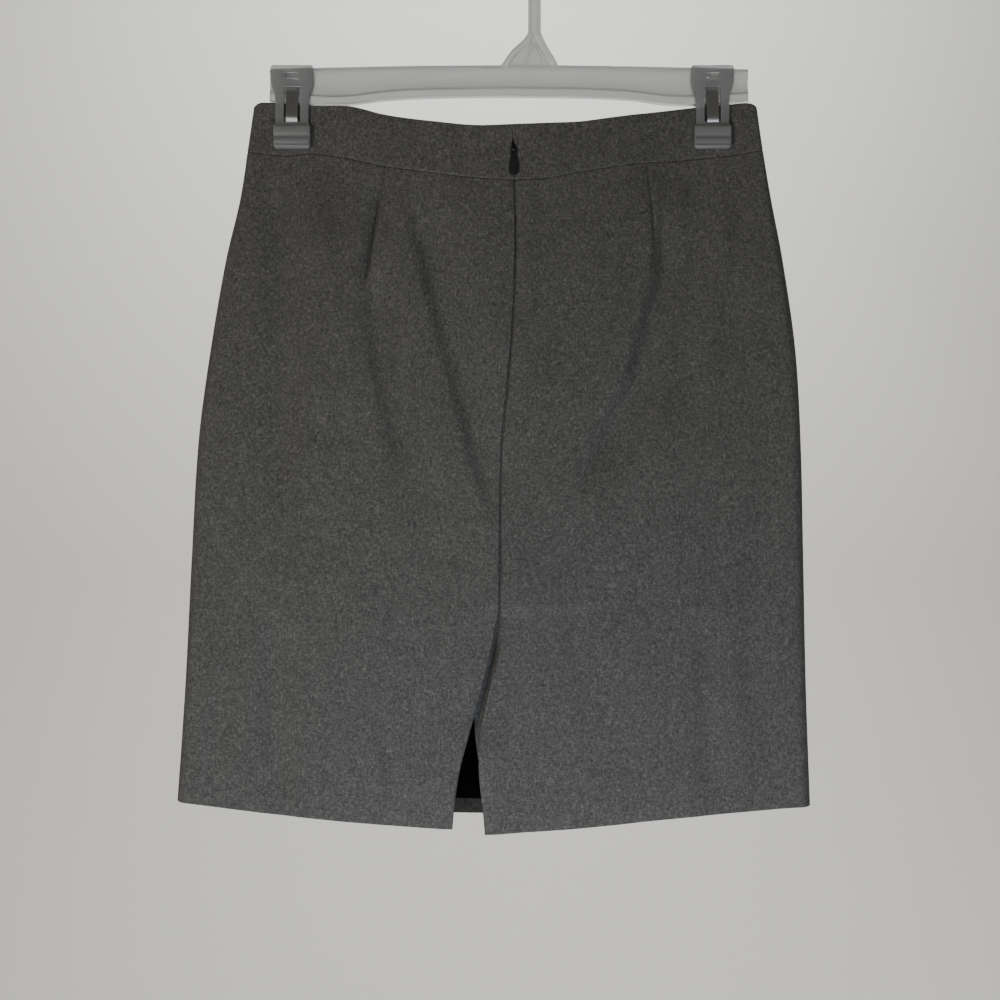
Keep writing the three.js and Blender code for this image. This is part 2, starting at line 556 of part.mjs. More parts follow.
// Clips: a front and a rear jaw, and a steel spring that holds them on the waistband
const JAW_INNER = CLIP_GRIP + SEAM_GAP / 2 + SEAM_GAP;
const JAW = { wall: 2.2, top: -90.6, shoulder: -102, waist: -115, footTop: -135.4, foot: -152.6 };
const JAW_WIDTH = { top: 31.8, waist: 25, foot: 27.6 };
const WINDOW = { width: 12, top: -106.6, foot: -133 };
const PEEP = { width: 9.4, top: -96.2, foot: -99.8 };

function jawPlate() {
  const [top, waist, foot] = [JAW_WIDTH.top, JAW_WIDTH.waist, JAW_WIDTH.foot].map((w) => w / 2);
  const right = [[top - 1, JAW.top], [top, JAW.shoulder], [waist, JAW.waist], [waist, JAW.footTop + 2], [foot, JAW.footTop - 1]];
  const left = right.map(([x, z]) => [-x, z]).reverse();
  const shape = outline([...right, [foot, JAW.foot + 2], [foot - 2, JAW.foot], [2 - foot, JAW.foot], [-foot, JAW.foot + 2], ...left]);
  for (const { width, top: holeTop, foot: holeFoot } of [WINDOW, PEEP]) {
    shape.holes.push(rectangle(-width / 2, width / 2, holeFoot, holeTop));
  }
  return slab(shape, -JAW_INNER - JAW.wall, -JAW_INNER);
}

// The foot's profile in Y and Z, with two grooves across it.
function jawFoot() {
  const face = -JAW_INNER - JAW.wall - 2.4;
  const groove = face + 0.9;
  const shape = outline([
    [-JAW_INNER - 0.2, JAW.footTop],
    [-JAW_INNER - 0.2, JAW.foot],
    [face + 1, JAW.foot],
    [face, JAW.foot + 1],
    [face, JAW.foot + 2.6],
    [groove, JAW.foot + 3.4],
    [face, JAW.foot + 4.2],
    [face, JAW.foot + 7.4],
    [groove, JAW.foot + 8.6],
    [face, JAW.foot + 9.8],
    [face + 0.4, JAW.footTop - 2],
    [face + 1.6, JAW.footTop],
  ]);
  return profile(shape, JAW_WIDTH.foot - 0.6);
}

// The spring as a strip along a bent line in Y and Z: through the bar's slot, out of each window and down on each foot.
const SPRING = { width: 9, wall: 0.7 };
const SPRING_ARM = [
  { y: 0, z: -97.9 },
  { y: 1.7, z: -99.1 },
  { y: 2.8, z: -103.5 },
  { y: 3, z: -107.4 },
  { y: 4.7, z: -113 },
  { y: 6.3, z: -121 },
  { y: 6.6, z: -129 },
  { y: 6.7, z: -132.2 },
  { y: 8.2, z: -134.2 },
];
function springShape() {
  const line2 = [...SPRING_ARM.slice(1).reverse().map(({ y, z }) => [-y, z]), ...SPRING_ARM.map(({ y, z }) => [y, z])];
  const curve = new THREE.SplineCurve(line2.map(([y, z]) => new THREE.Vector2(y, z)));
  const stations = evenly(44);
  const beside = (t, way) => {
    const tangent = curve.getTangent(t);
    return curve.getPoint(t).add(new THREE.Vector2(-tangent.y, tangent.x).multiplyScalar((way * SPRING.wall) / 2));
  };
  return new THREE.Shape([...stations.map((t) => beside(t, 1)), ...stations.map((t) => beside(t, -1)).reverse()]);
}

["left", "right"].forEach((half, i) => {
  const jaw = joined([jawPlate(), jawFoot()]);
  const rear = jaw.clone().rotateZ(Math.PI);
  add(`clip_${half}_front_jaw`, jaw, COLOURS.clear).position.x = CLIP_CENTRES[i];
  add(`clip_${half}_rear_jaw`, rear, COLOURS.clear).position.x = CLIP_CENTRES[i];
  add(`clip_${half}_spring`, profile(springShape(), SPRING.width), COLOURS.steel).position.x = CLIP_CENTRES[i];
});

export default skirt;
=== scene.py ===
"""A pencil skirt of grey wool flannel that hangs, back outward, from a clear clip hanger."""

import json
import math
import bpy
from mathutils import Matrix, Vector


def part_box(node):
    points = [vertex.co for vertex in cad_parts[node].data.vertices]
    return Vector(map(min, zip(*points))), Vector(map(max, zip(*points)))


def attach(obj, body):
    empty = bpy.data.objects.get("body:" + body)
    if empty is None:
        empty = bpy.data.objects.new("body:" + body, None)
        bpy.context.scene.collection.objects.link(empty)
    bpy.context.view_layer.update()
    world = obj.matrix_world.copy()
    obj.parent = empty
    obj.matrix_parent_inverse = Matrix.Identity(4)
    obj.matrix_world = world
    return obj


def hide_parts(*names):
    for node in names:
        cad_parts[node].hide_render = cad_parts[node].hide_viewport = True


bl_info = {
    "name": "Pencil skirt on a clip hanger",
    "version": (1, 0, 0),
    "blender": (4, 5, 0),
    "location": "View3D > Sidebar > Skirt",
    "description": "Dresses the skirt's solids with wool flannel, lining, zip and hanger",
    "category": "Object",
}

import bmesh
import bpy
import numpy as np
from mathutils import Matrix, Vector

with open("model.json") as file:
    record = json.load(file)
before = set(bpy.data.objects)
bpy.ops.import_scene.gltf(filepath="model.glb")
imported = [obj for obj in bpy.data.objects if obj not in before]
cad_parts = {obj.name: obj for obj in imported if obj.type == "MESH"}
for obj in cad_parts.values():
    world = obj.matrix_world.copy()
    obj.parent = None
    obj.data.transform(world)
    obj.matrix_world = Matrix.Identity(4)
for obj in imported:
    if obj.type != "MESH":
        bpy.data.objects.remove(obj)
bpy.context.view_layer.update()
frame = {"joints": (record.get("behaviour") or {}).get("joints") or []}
SKIRT_BODY = "skirt_and_hanger"
PULL_BODY = "zip_pull"

# Lengths in the tables and functions below are in millimetres, as a cutter has them.
MM = 0.001
SEAM_GAP = 0.3
SEWN_GAP = 0.01


def table(columns, *rows):
    """A short table whose columns are read by name."""
    return {name: np.array([row[i] for row in rows], float) for i, name in enumerate(columns.split())}


# The skirt's level sections: side folds, centre-back seam, bulge of each side, side folds' radius.
SECTIONS = table(
    "z left right centre back front roll",
    (-116, -187.5, 188, 5, 13.6, 12.2, 4.4),
    (-154, -193, 193.5, 6.2, 14.2, 12.6, 4.8),
    (-190, -198.5, 199.5, 7.4, 15.4, 13.4, 6),
    (-235, -209, 208, 8, 17.4, 14.8, 7.5),
    (-302, -220.5, 217.5, 4.7, 20, 16.6, 9),
    (-370, -229.5, 221.5, -2, 21.4, 17.8, 9.5),
    (-460, -234.8, 223.5, -3.6, 22, 18.4, 9.5),
    (-550, -239.3, 225.3, -4.6, 22.6, 18.8, 9.2),
    (-645, -245.7, 228.5, -5.4, 23.2, 19.4, 9),
)
# Top edge, waist seam and hem, by the share of the way from the centre out to a side fold.
LINES = {
    "left": table(
        "out top seam hem",
        (0, -136.8, -178.2, -656),
        (0.15, -137.3, -176.4, -655.2),
        (0.35, -132.8, -171, -652.6),
        (0.48, -128.6, -166.8, -650.6),
        (0.62, -121, -159.6, -648),
        (0.75, -119.9, -156, -645.4),
        (0.84, -118.8, -157.6, -643.6),
        (0.95, -117.7, -155.6, -641),
        (1, -120.5, -155, -640),
    ),
    "right": table(
        "out top seam hem",
        (0, -136.8, -178.2, -660),
        (0.12, -135.8, -177, -658.6),
        (0.26, -134.4, -172, -656.8),
        (0.4, -130.6, -167, -654),
        (0.54, -126.6, -163.4, -651),
        (0.7, -122.2, -160.4, -648),
        (0.86, -119.4, -157.2, -645.2),
        (0.95, -118.2, -154.4, -643.9),
        (1, -120.5, -153, -643.5),
    ),
    "front": table(
        "out top seam hem",
        (-1, -120.5, -155, -640),
        (-0.94, -118, -155.2, -641),
        (-0.8, -119.4, -156, -643.6),
        (-0.55, -125.4, -163, -648.4),
        (-0.25, -134.4, -172, -652.6),
        (0, -137.6, -175.6, -654),
        (0.25, -134.6, -172, -653.2),
        (0.55, -126, -163, -650),
        (0.8, -119.6, -156.4, -646),
        (0.94, -118.2, -153.8, -644),
        (1, -120.5, -153, -643.5),
    ),
}
# The open slit: the left panel's edge, the right panel's edge and the edge of the right one's facing.
SLIT_TOP = -499
SLIT = table(
    "z left right facing",
    (SLIT_TOP, -4.6, -4.3, -10),
    (-526, -10.1, -5.4, -14),
    (-559, -18.4, -12.9, -21.4),
    (-585, -25.8, -18.4, -22.6),
    (-614, -33.5, -19.3, -18.8),
    (-640, -37.2, -16.6, -15.8),
    (-660, -39, -14.9, -14.2),
)
# Creases as troughs along a line of four points, walked downwards. Left and right are the widths of
# their two walls, so the narrower wall is the steeper one. A negative depth is a swell.
FOLD_COLUMNS = "x1 z1 x2 z2 x3 z3 x4 z4 left right depth"
FOLDS = {
    "back": table(
        FOLD_COLUMNS,
        (-101, -224, -93, -302, -83, -344, -70, -412, 14, 30, 4.4),
        (-73, -170, -52, -253, -30, -340, -1, -448, 12, 32, 4.4),
        (122, -178, 118, -250, 98, -326, 52, -416, 13, 32, 6.6),
        (147, -160, 142, -237, 134, -290, 126, -366, 16, 26, 3.8),
        (-170, -130, -163, -239, -165, -330, -176, -440, 24, 24, 5.2),
        (-172, -490, -175, -562, -172, -599, -168, -660, 13, 26, 3.4),
        (151, -490, 149, -550, 150, -585, 151, -650, 14, 28, 1.9),
        (-97, -555, -92, -588, -88, -602, -84, -638, 8, 16, 1.7),
        (-24, -488, 10, -490, 44, -490, 78, -486, 12, 56, -1.5),
        (-22, -570, -28, -600, -34, -630, -42, -700, 30, 30, -2.4),
        (-16, -570, -14, -600, -12, -630, -8, -700, 30, 30, -2),
        (-131, -156, -128, -196, -121, -236, -113, -286, 10, 20, 1.5),
        (-62, -388, -68, -412, -64, -438, -44, -476, 20, 34, 2),
        (30, -182, 38, -230, 38, -280, 32, -340, 24, 24, 0.6),
        (176, -164, 174, -220, 167, -280, 152, -346, 14, 24, 1.7),
        (-140, -330, -132, -380, -132, -430, -138, -480, 26, 34, 1.2),
        (-52, -440, -66, -500, -72, -560, -66, -620, 36, 40, 1),
        (56, -440, 66, -500, 68, -560, 60, -640, 36, 44, 1.2),
        (192, -380, 186, -450, 186, -520, 192, -640, 18, 22, 1.5),
        (-214, -420, -208, -500, -212, -560, -220, -640, 18, 18, 1.1),
    ),
    "front": table(
        FOLD_COLUMNS,
        (-148, -166, -128, -248, -106, -318, -78, -402, 32, 12, 4.2),
        (-98, -168, -88, -224, -78, -262, -64, -318, 20, 10, 2.6),
        (146, -164, 128, -240, 110, -300, 90, -364, 12, 30, 3.8),
        (98, -164, 92, -210, 82, -254, 68, -308, 10, 20, 2.4),
        (-181, -156, -188, -300, -190, -480, -186, -676, 26, 22, 2.6),
        (178, -196, 184, -340, 184, -500, 180, -676, 22, 26, 2.4),
        (22, -460, 14, -530, 12, -600, 16, -680, 28, 28, 1.7),
        (-96, -496, -102, -560, -106, -620, -108, -684, 24, 13, 2),
        (112, -536, 116, -580, 114, -620, 112, -684, 13, 24, 1.9),
        (-36, -180, -28, -240, -26, -300, -32, -360, 22, 22, 0.8),
        (40, -178, 35, -240, 36, -300, 46, -350, 20, 20, 0.7),
        (118, -400, 124, -460, 123, -530, 116, -600, 30, 30, 1.1),
        (-60, -400, -54, -460, -54, -520, -62, -580, 32, 32, 0.8),
        (-150, -420, -142, -480, -144, -550, -152, -620, 26, 26, 1),
        (66, -300, 74, -350, 72, -410, 62, -460, 26, 26, -0.8),
    ),
}
# Slow unevenness of hung flannel: waves across and down the cloth.
RIPPLES = table(
    "across down turn height",
    (62, 190, 0.4, 0.22),
    (-47, 240, 2.1, 0.16),
    (150, 88, 1.3, 0.2),
    (-210, 61, 4.2, 0.12),
    (29, 330, 5.1, 0.1),
)

# A crease fades over this share of its length at each end, and over this distance from a side fold.
CREASE_FADE = 0.25
SIDE_FADE = 20
# How a side bulges between its folds: 1 is a sine, and more is flatter near the folds.
BULGE_POWER = 1.3
# The share of the way from the centre out to a side fold that the fold's rounding takes.
ROLL_SHARE = 0.04

# Where the clips grip the band, the half depth they leave, and how far round them they pinch it.
CLIP_CENTRES = {"left": -159, "right": 155}
CLIP_GRIP = 3.2
CLIP_FLAT = 15
CLIP_FADE = 36
CLIP_PINCH_TOP = -156
CLIP_PINCH_REACH = 70

# The zip's tape, and the parting of the seam where the slider stands in it.
ZIP_TOP = -145
ZIP_LENGTH = 178
ZIP_OPEN_Z = -158
ZIP_OPEN_HALF = 1.15
ZIP_OPEN_REACH = 8.5

# The darts, from the waist seam to their points, and on down as the line that the cloth's mesh follows.
DARTS = {
    "left": table(
        "z x",
        (-156, -87.4),
        (-178, -91.6),
        (-212, -97),
        (-256, -103),
        (-400, -112),
        (-660, -120),
    ),
    "right": table(
        "z x",
        (-156, 105),
        (-178, 107.4),
        (-200, 109.8),
        (-242, 111.4),
        (-400, 110),
        (-660, 108),
    ),
}
# Each dart's point, the reach of its outer slope, how deep it sinks, and how deep its stitch line is.
DART_POINTS = {"left": -258, "right": -228}
DART_REACH = {"left": 14, "right": 4}
DART_SINK = {"left": 6.6, "right": 1.3}
DART_LINE = {"left": 1.1, "right": 0.5}
# The inner slope's reach, how steeply both slopes fall, and how far above the point they are full.
DART_INNER_REACH = 3
DART_FALL = 1.7
DART_FADE = 30
# The stitch line's half width. It starts above the dart's point, and is full a little higher.
STITCH_HALF = 1.3
STITCH_START = 4
STITCH_FADE = 9
# From this level up to the waist seam a dart is pressed flatter, down to this share of its depth.
PRESSED_Z = -206
PRESSED_REACH = 34
PRESSED_SHARE = 0.4

# Turnings behind the cloth: their width, over what distance they fade, and the levels of the hems.
SEAM_TURNING = 11
TURNING_FADE = 5
VENT_TOP = -490
VENT_TURNING = 38
VENT_FADE = 6
VENT_TOP_FADE = 3
HEM_LEVELS = {"back": -650, "front": -648}

# The slit's facing starts above the slit's top, reaches behind the panel's edge, and turns in past it.
FACING_ABOVE = 4
FACING_WIDTH = 26
FACING_TURN = 5.5
FACING_TURN_START = 2.5
FACING_TURN_REACH = 6
FACING_TURN_TOP = SLIT_TOP + 2
FACING_TURN_FADE = 24
# The lining ends at this share of the way down, so it is about 13 mm shorter than the front.
LINING_HEM_SHARE = 0.974


def curve(rows, along, column, place):
    """A table's column on one smooth curve, at places between its rows."""
    xs, ys = rows[along], rows[column]
    if xs[0] > xs[-1]:
        xs, ys = xs[::-1], ys[::-1]
    slopes = np.empty_like(ys)
    slopes[1:-1] = (ys[2:] - ys[:-2]) / (xs[2:] - xs[:-2])
    slopes[0] = (ys[1] - ys[0]) / (xs[1] - xs[0])
    slopes[-1] = (ys[-1] - ys[-2]) / (xs[-1] - xs[-2])
    k = np.clip(np.searchsorted(xs, place) - 1, 0, len(xs) - 2)
    span = xs[k + 1] - xs[k]
    t = (place - xs[k]) / span
    rise = t * t * (3 - 2 * t)
    bend = t * (1 - t) ** 2 * span * slopes[k] + t * t * (t - 1) * span * slopes[k + 1]
    return ys[k] * (1 - rise) + ys[k + 1] * rise + bend


def section(column, z):
    """One measure of the skirt's level section at a height."""
    return curve(SECTIONS, "z", column, z)


def mix(a, b, t):
    """From a to b as t goes from 0 to 1."""
    return a + (b - a) * t


def ease(t):
    """A smooth step from 0 to 1 as t goes from 0 to 1."""
    c = np.clip(t, 0, 1)
    return c * c * (3 - 2 * c)


def sunk(side, x, z):
    """How far the creases of one side sink its cloth."""
    total = np.zeros_like(x)
    rows = FOLDS[side]
    for i in range(len(rows["depth"])):
        line = [(rows[f"x{k}"][i], rows[f"z{k}"][i]) for k in (1, 2, 3, 4)]
        legs = list(zip(line[:-1], line[1:]))
        lengths = [math.dist(a, b) for a, b in legs]
        nearest = np.full_like(x, np.inf)
        along = np.zeros_like(x)
        righthand = np.zeros_like(x)
        done = 0
        for ((ax, az), (bx, bz)), leg in zip(legs, lengths):
            t = np.clip(((x - ax) * (bx - ax) + (z - az) * (bz - az)) / leg**2, 0, 1)
            away = np.hypot(x - mix(ax, bx, t), z - mix(az, bz, t))
            closer = away < nearest
            along = np.where(closer, (done + t * leg) / sum(lengths), along)
            turned = ((bx - ax) * (z - az) - (bz - az) * (x - ax)) / leg
            righthand = np.where(closer, turned, righthand)
            nearest = np.minimum(away, nearest)
            done += leg
        fade = ease(along / CREASE_FADE) * ease((1 - along) / CREASE_FADE)
        reach = np.where(righthand > 0, rows["right"][i], rows["left"][i])
        total += rows["depth"][i] * fade * (1 - ease(nearest / reach))
    return total


def ripple(x, z):
    """How far the slow waves sink the cloth."""
    total = np.zeros_like(x)
    for across, down, turn, height in zip(*RIPPLES.values()):
        total += height * np.sin(2 * math.pi * (x / across + z / down) + turn)
    return total


def pinch(x, z):
    """How much the clips pinch the cloth flat, from 0 to 1."""
    below = ease((CLIP_PINCH_TOP - z) / CLIP_PINCH_REACH)
    nearest = np.minimum(*(np.abs(x - centre) for centre in CLIP_CENTRES.values()))
    return (1 - below) * np.exp(-((np.maximum(nearest - CLIP_FLAT, 0) / CLIP_FADE) ** 2))


def bulge(side, x, z, proud=0):
    """How far the cloth's outer face stands from the plane of the side folds."""
    left, right, roll = section("left", z), section("right", z), section("roll", z)
    inward = np.minimum(x - left, right - x) - roll
    t = np.clip(inward / ((right - left) / 2 - roll), 0, 1)
    full = mix(roll, section(side, z), np.sin(math.pi / 2 * t) ** BULGE_POWER)
    away = ease(inward / SIDE_FADE)
    return mix(full - (sunk(side, x, z) + ripple(x, z) - proud) * away, CLIP_GRIP, pinch(x, z))


def face_point(side, fold, edge, column, z, proud=0):
    """The cloth's outer face and its flat place. Column 0 is the side fold, and 1 its rounding's end."""
    out = -1 if side == "back" else 1
    inwards = np.sign(edge - fold)
    roll = section("roll", z)
    start = fold + inwards * roll
    angle = np.clip(column, 0, 1) * math.pi / 2
    rounded = column < 1
    x = np.where(rounded, start - inwards * roll * np.cos(angle), mix(start, edge, column - 1))
    high = bulge(side, np.where(rounded, start, x), z, proud)
    high = np.where(rounded, mix(roll, high, ease(column)) * np.sin(angle), high)
    y = out * (SEWN_GAP + high)
    flat_x = np.where(rounded, start - inwards * roll * (math.pi / 2 - angle), x)
    return np.stack([x, y, z], axis=1), np.stack([flat_x, z], axis=1)


def out_share(column):
    """A column's share of the way from the centre out to the side fold."""
    rounded = 1 - ROLL_SHARE * (1 - np.cos(np.clip(column, 0, 1) * math.pi / 2))
    return np.where(column < 1, rounded, (1 - ROLL_SHARE) * (2 - column))


def half_gap(z):
    """Half the gap in the centre-back seam, which parts at the zip's slider."""
    return SEWN_GAP + ZIP_OPEN_HALF * np.exp(-(((z - ZIP_OPEN_Z) / ZIP_OPEN_REACH) ** 4))


def centre_edge(half, z):
    """The inner edge of a back half: along the seam, and below it along the slit."""
    way = -1 if half == "left" else 1
    return np.where(z > SLIT_TOP, section("centre", z) + way * half_gap(z), curve(SLIT, "z", half, z))


def back_place(half, upper, lower, trim=None, proud=0):
    """A function that places a back piece's points, with the mesh's lines along the dart."""

    def level(out, down):
        top = curve(LINES[half], "out", upper[0], out) + upper[1]
        bottom = curve(LINES[half], "out", lower[0], out) + lower[1]
        return mix(top, bottom, down)

    def place(column, down):
        s = np.maximum(column - 1, 0)
        z = level(out_share(column), down)
        fold, edge = section(half, z), centre_edge(half, z)
        start = fold + np.sign(edge - fold) * section("roll", z)
        # the columns bow, so that the middle one runs down the dart
        dart = (curve(DARTS[half], "z", "x", z) - start) / (edge - start)
        share = s + (dart - 0.5) * 4 * s * (1 - s)
        bent = np.where(column < 1, column, 1 + share)
        z = level(out_share(bent), down)
        fold, edge = section(half, z), centre_edge(half, z)
        points, flat = face_point("back", fold, edge, bent, z, proud)
        if trim:
            points[:, 1] -= trim(half, points[:, 0], z, edge)
        return points, flat

    return place


def front_place(upper, lower, trim=None, proud=0, behind=None):
    """A function that places the front's points, with columns from -2 at one fold to 2 at the other."""

    def place(column, down):
        inner = 2 - np.abs(column)
        across = np.sign(column) * out_share(inner)
        top = curve(LINES["front"], "out", upper[0], across) + upper[1]
        bottom = curve(LINES["front"], "out", lower[0], across) + lower[1]
        z = mix(top, bottom, down)
        left, right = section("left", z), section("right", z)
        fold = np.where(column < 0, left, right)
        points, flat = face_point("front", fold, (left + right) / 2, inner, z, proud)
        if trim:
            points[:, 1] += trim(points[:, 0], z, bottom)
        if behind:
            points[:, 1] -= behind(column, down)
        return points, flat

    return place


def spread(count, crowding=0.5, roll_steps=8):
    """Columns from a side fold to the centre, drawn together at the edges and at the dart."""
    rolled = np.arange(roll_steps) / roll_steps
    t = np.linspace(0, 1, count + 1)
    return np.concatenate([rolled, 1 + t - crowding * np.sin(4 * math.pi * t) / (4 * math.pi)])


def both_sides(columns):
    """Columns from one side fold to the other, made of those of one half."""
    return np.concatenate([columns - 2, (2 - columns[:-1])[::-1]])


def linear(hex_colour):
    """An sRGB hex colour as the linear colour that shaders take."""
    channels = [int(hex_colour[i : i + 2], 16) / 255 for i in (1, 3, 5)]
    return tuple(c / 12.92 if c <= 0.04045 else ((c + 0.055) / 1.055) ** 2.4 for c in channels)


def length(name, description, default, low=0.0, high=1.0):
    """A property that holds a length in metres."""
    return bpy.props.FloatProperty(
        name=name,
        description=description,
        default=default,
        min=low,
        max=high,
        unit="LENGTH",
        subtype="DISTANCE",
    )


def colour(name, description, hex_colour):
    """A property that holds a colour, given as sRGB hex."""
    return bpy.props.FloatVectorProperty(
        name=name,
        description=description,
        default=linear(hex_colour),
        size=3,
        min=0,
        max=1,
        subtype="COLOR",
    )


class SkirtClothSizes(bpy.types.PropertyGroup):
    """The cloth's sizes that a user would change"""

    panel_wall: length("Panel thickness", "Wool flannel of the panels", 0.002, 0.001, 0.003)
    band_wall: length("Waistband thickness", "Doubled and interfaced waistband", 0.003, 0.002, 0.004)
    lining_wall: length("Lining thickness", "Satin lining with its hem", 0.001, 0.0005, 0.002)
    edge_round: length("Edge rounding", "How far an edge or a seam is rounded", 0.0008, 0.0001, 0.001)
    seam_rise: length("Seam allowance", "How far the turnings lift the cloth", 0.0003, 0, 0.001)
    band_proud: length("Waistband step", "How far the waistband stands off the panels", 0.0004, 0, 0.001)
    hem_turn: length("Hem depth", "Height of the turned-up hem", 0.038, 0.01, 0.06)
    lining_drift: length("Lining drift", "How far its hem hangs inside the front", 0.004, 0, 0.008)


class SkirtColours(bpy.types.PropertyGroup):
    """The colours that a user would change"""

    wool_dark: colour("Dark wool", "The darkest fibres of the heather mixture", "#343332")
    wool_mid: colour("Grey wool", "The mean of the heather mixture", "#4d4c4a")
    wool_light: colour("Light wool", "The palest fibres of the heather mixture", "#71706b")
    # near zero: the satin's own black, deepened further as painted shade for the dark inside behind the
    # slit
    lining: colour("Lining", "Black satin", "#010101")
    zip_black: colour("Zip tape", "Dyed polyester", "#161518")
    enamel: colour("Slider and pull", "Stoved enamel on zinc", "#1d1b1e")
    plastic: colour("Hanger", "Clear polystyrene, a little milky", "#bcbdbd")
    steel: colour("Springs", "Bright spring steel", "#c2c4c6")


def own_mesh(name, bm, material, body=SKIRT_BODY, replaced=()):
    """Ends a bmesh as a piece that rides on a body, and stands for the nodes it replaces."""
    mesh = bpy.data.meshes.new(name)
    bm.to_mesh(mesh)
    bm.free()
    mesh.polygons.foreach_set("use_smooth", [True] * len(mesh.polygons))
    mesh.materials.append(material)
    piece = bpy.data.objects.new(name, mesh)
    bpy.context.scene.collection.objects.link(piece)
    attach(piece, body)
    if replaced:
        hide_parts(*replaced)
    return piece


def placed_grid(across, down, place):
    """A bmesh grid whose points, in millimetres, and flat places come from place(across, down)."""
    bm = bmesh.new()
    bm.loops.layers.uv.new("UVMap")
    columns, rows = len(across) - 1, len(down) - 1
    bmesh.ops.create_grid(bm, x_segments=columns, y_segments=rows, size=0.5, calc_uvs=True)
    unit = np.array([v.co[:2] for v in bm.verts]) + 0.5
    column = np.rint(unit[:, 0] * columns).astype(int)
    row = np.rint(unit[:, 1] * rows).astype(int)
    points, flat = place(np.asarray(across, float)[column], np.asarray(down, float)[row])
    for vert, point in zip(bm.verts, points):
        vert.co = Vector(point) * MM
    uv = bm.loops.layers.uv.active
    flat = flat * MM
    for face in bm.faces:
        for loop in face.loops:
            loop[uv].uv = flat[loop.vert.index]
    bm.normal_update()
    return bm


def cloth(name, across, down, place, outward, wall, rounding, material, replaced):
    """A sheet of cloth with real thickness and soft edges. Outward is the sign of its face's Y."""
    bm = placed_grid(across, down, place)
    facing = sum(face.normal.y * face.calc_area() for face in bm.faces)
    if facing * outward < 0:
        bmesh.ops.reverse_faces(bm, faces=bm.faces[:])
    bm.normal_update()
    # the inner face is marked, so that the wool's material can darken it as painted shade
    inside = bm.verts.layers.float.new("inside")
    outer = set(bm.verts)
    bmesh.ops.solidify(bm, geom=bm.faces[:], thickness=wall)
    for vert in bm.verts:
        vert[inside] = 0.0 if vert in outer else 1.0
    rim = {f for f in bm.faces if 0 < sum(v in outer for v in f.verts) < len(f.verts)}
    edges = {e for f in rim for e in f.edges if any(other not in rim for other in e.link_faces)}
    bmesh.ops.bevel(
        bm, geom=list(edges), offset=rounding, offset_type="OFFSET", affect="EDGES", segments=3,
        profile=0.5, clamp_overlap=False, material=-1,
    )
    bmesh.ops.recalc_face_normals(bm, faces=bm.faces[:])
    return own_mesh(name, bm, material, replaced=replaced)


def node(tree, kind, links=None, **settings):
    """Adds one node with its settings. Links maps an input to a value or to another node's output."""
    made = tree.nodes.new(kind)
    for key, value in settings.items():
        setattr(made, key, value)
    for key, value in (links or {}).items():
        if isinstance(value, bpy.types.NodeSocket):
            tree.links.new(value, made.inputs[key])
        else:
            made.inputs[key].default_value = value
    return made


def new_material(name):
    """An empty material's tree, with its Principled shader and the shader's output already joined."""
    material = bpy.data.materials.get(name)
    if material:
        return material, None, None
    material = bpy.data.materials.new(name)
    material.use_nodes = True
    tree = material.node_tree
    tree.nodes.clear()
    shader = node(tree, "ShaderNodeBsdfPrincipled")
    node(tree, "ShaderNodeOutputMaterial", {"Surface": shader.outputs["BSDF"]})
    return material, tree, shader


def per_metre(millimetres):
    """A noise scale whose features are this long."""
    return 1000 / millimetres


def rgba(value):
    """A colour with full alpha, as sockets take it."""
    return (*value, 1.0)


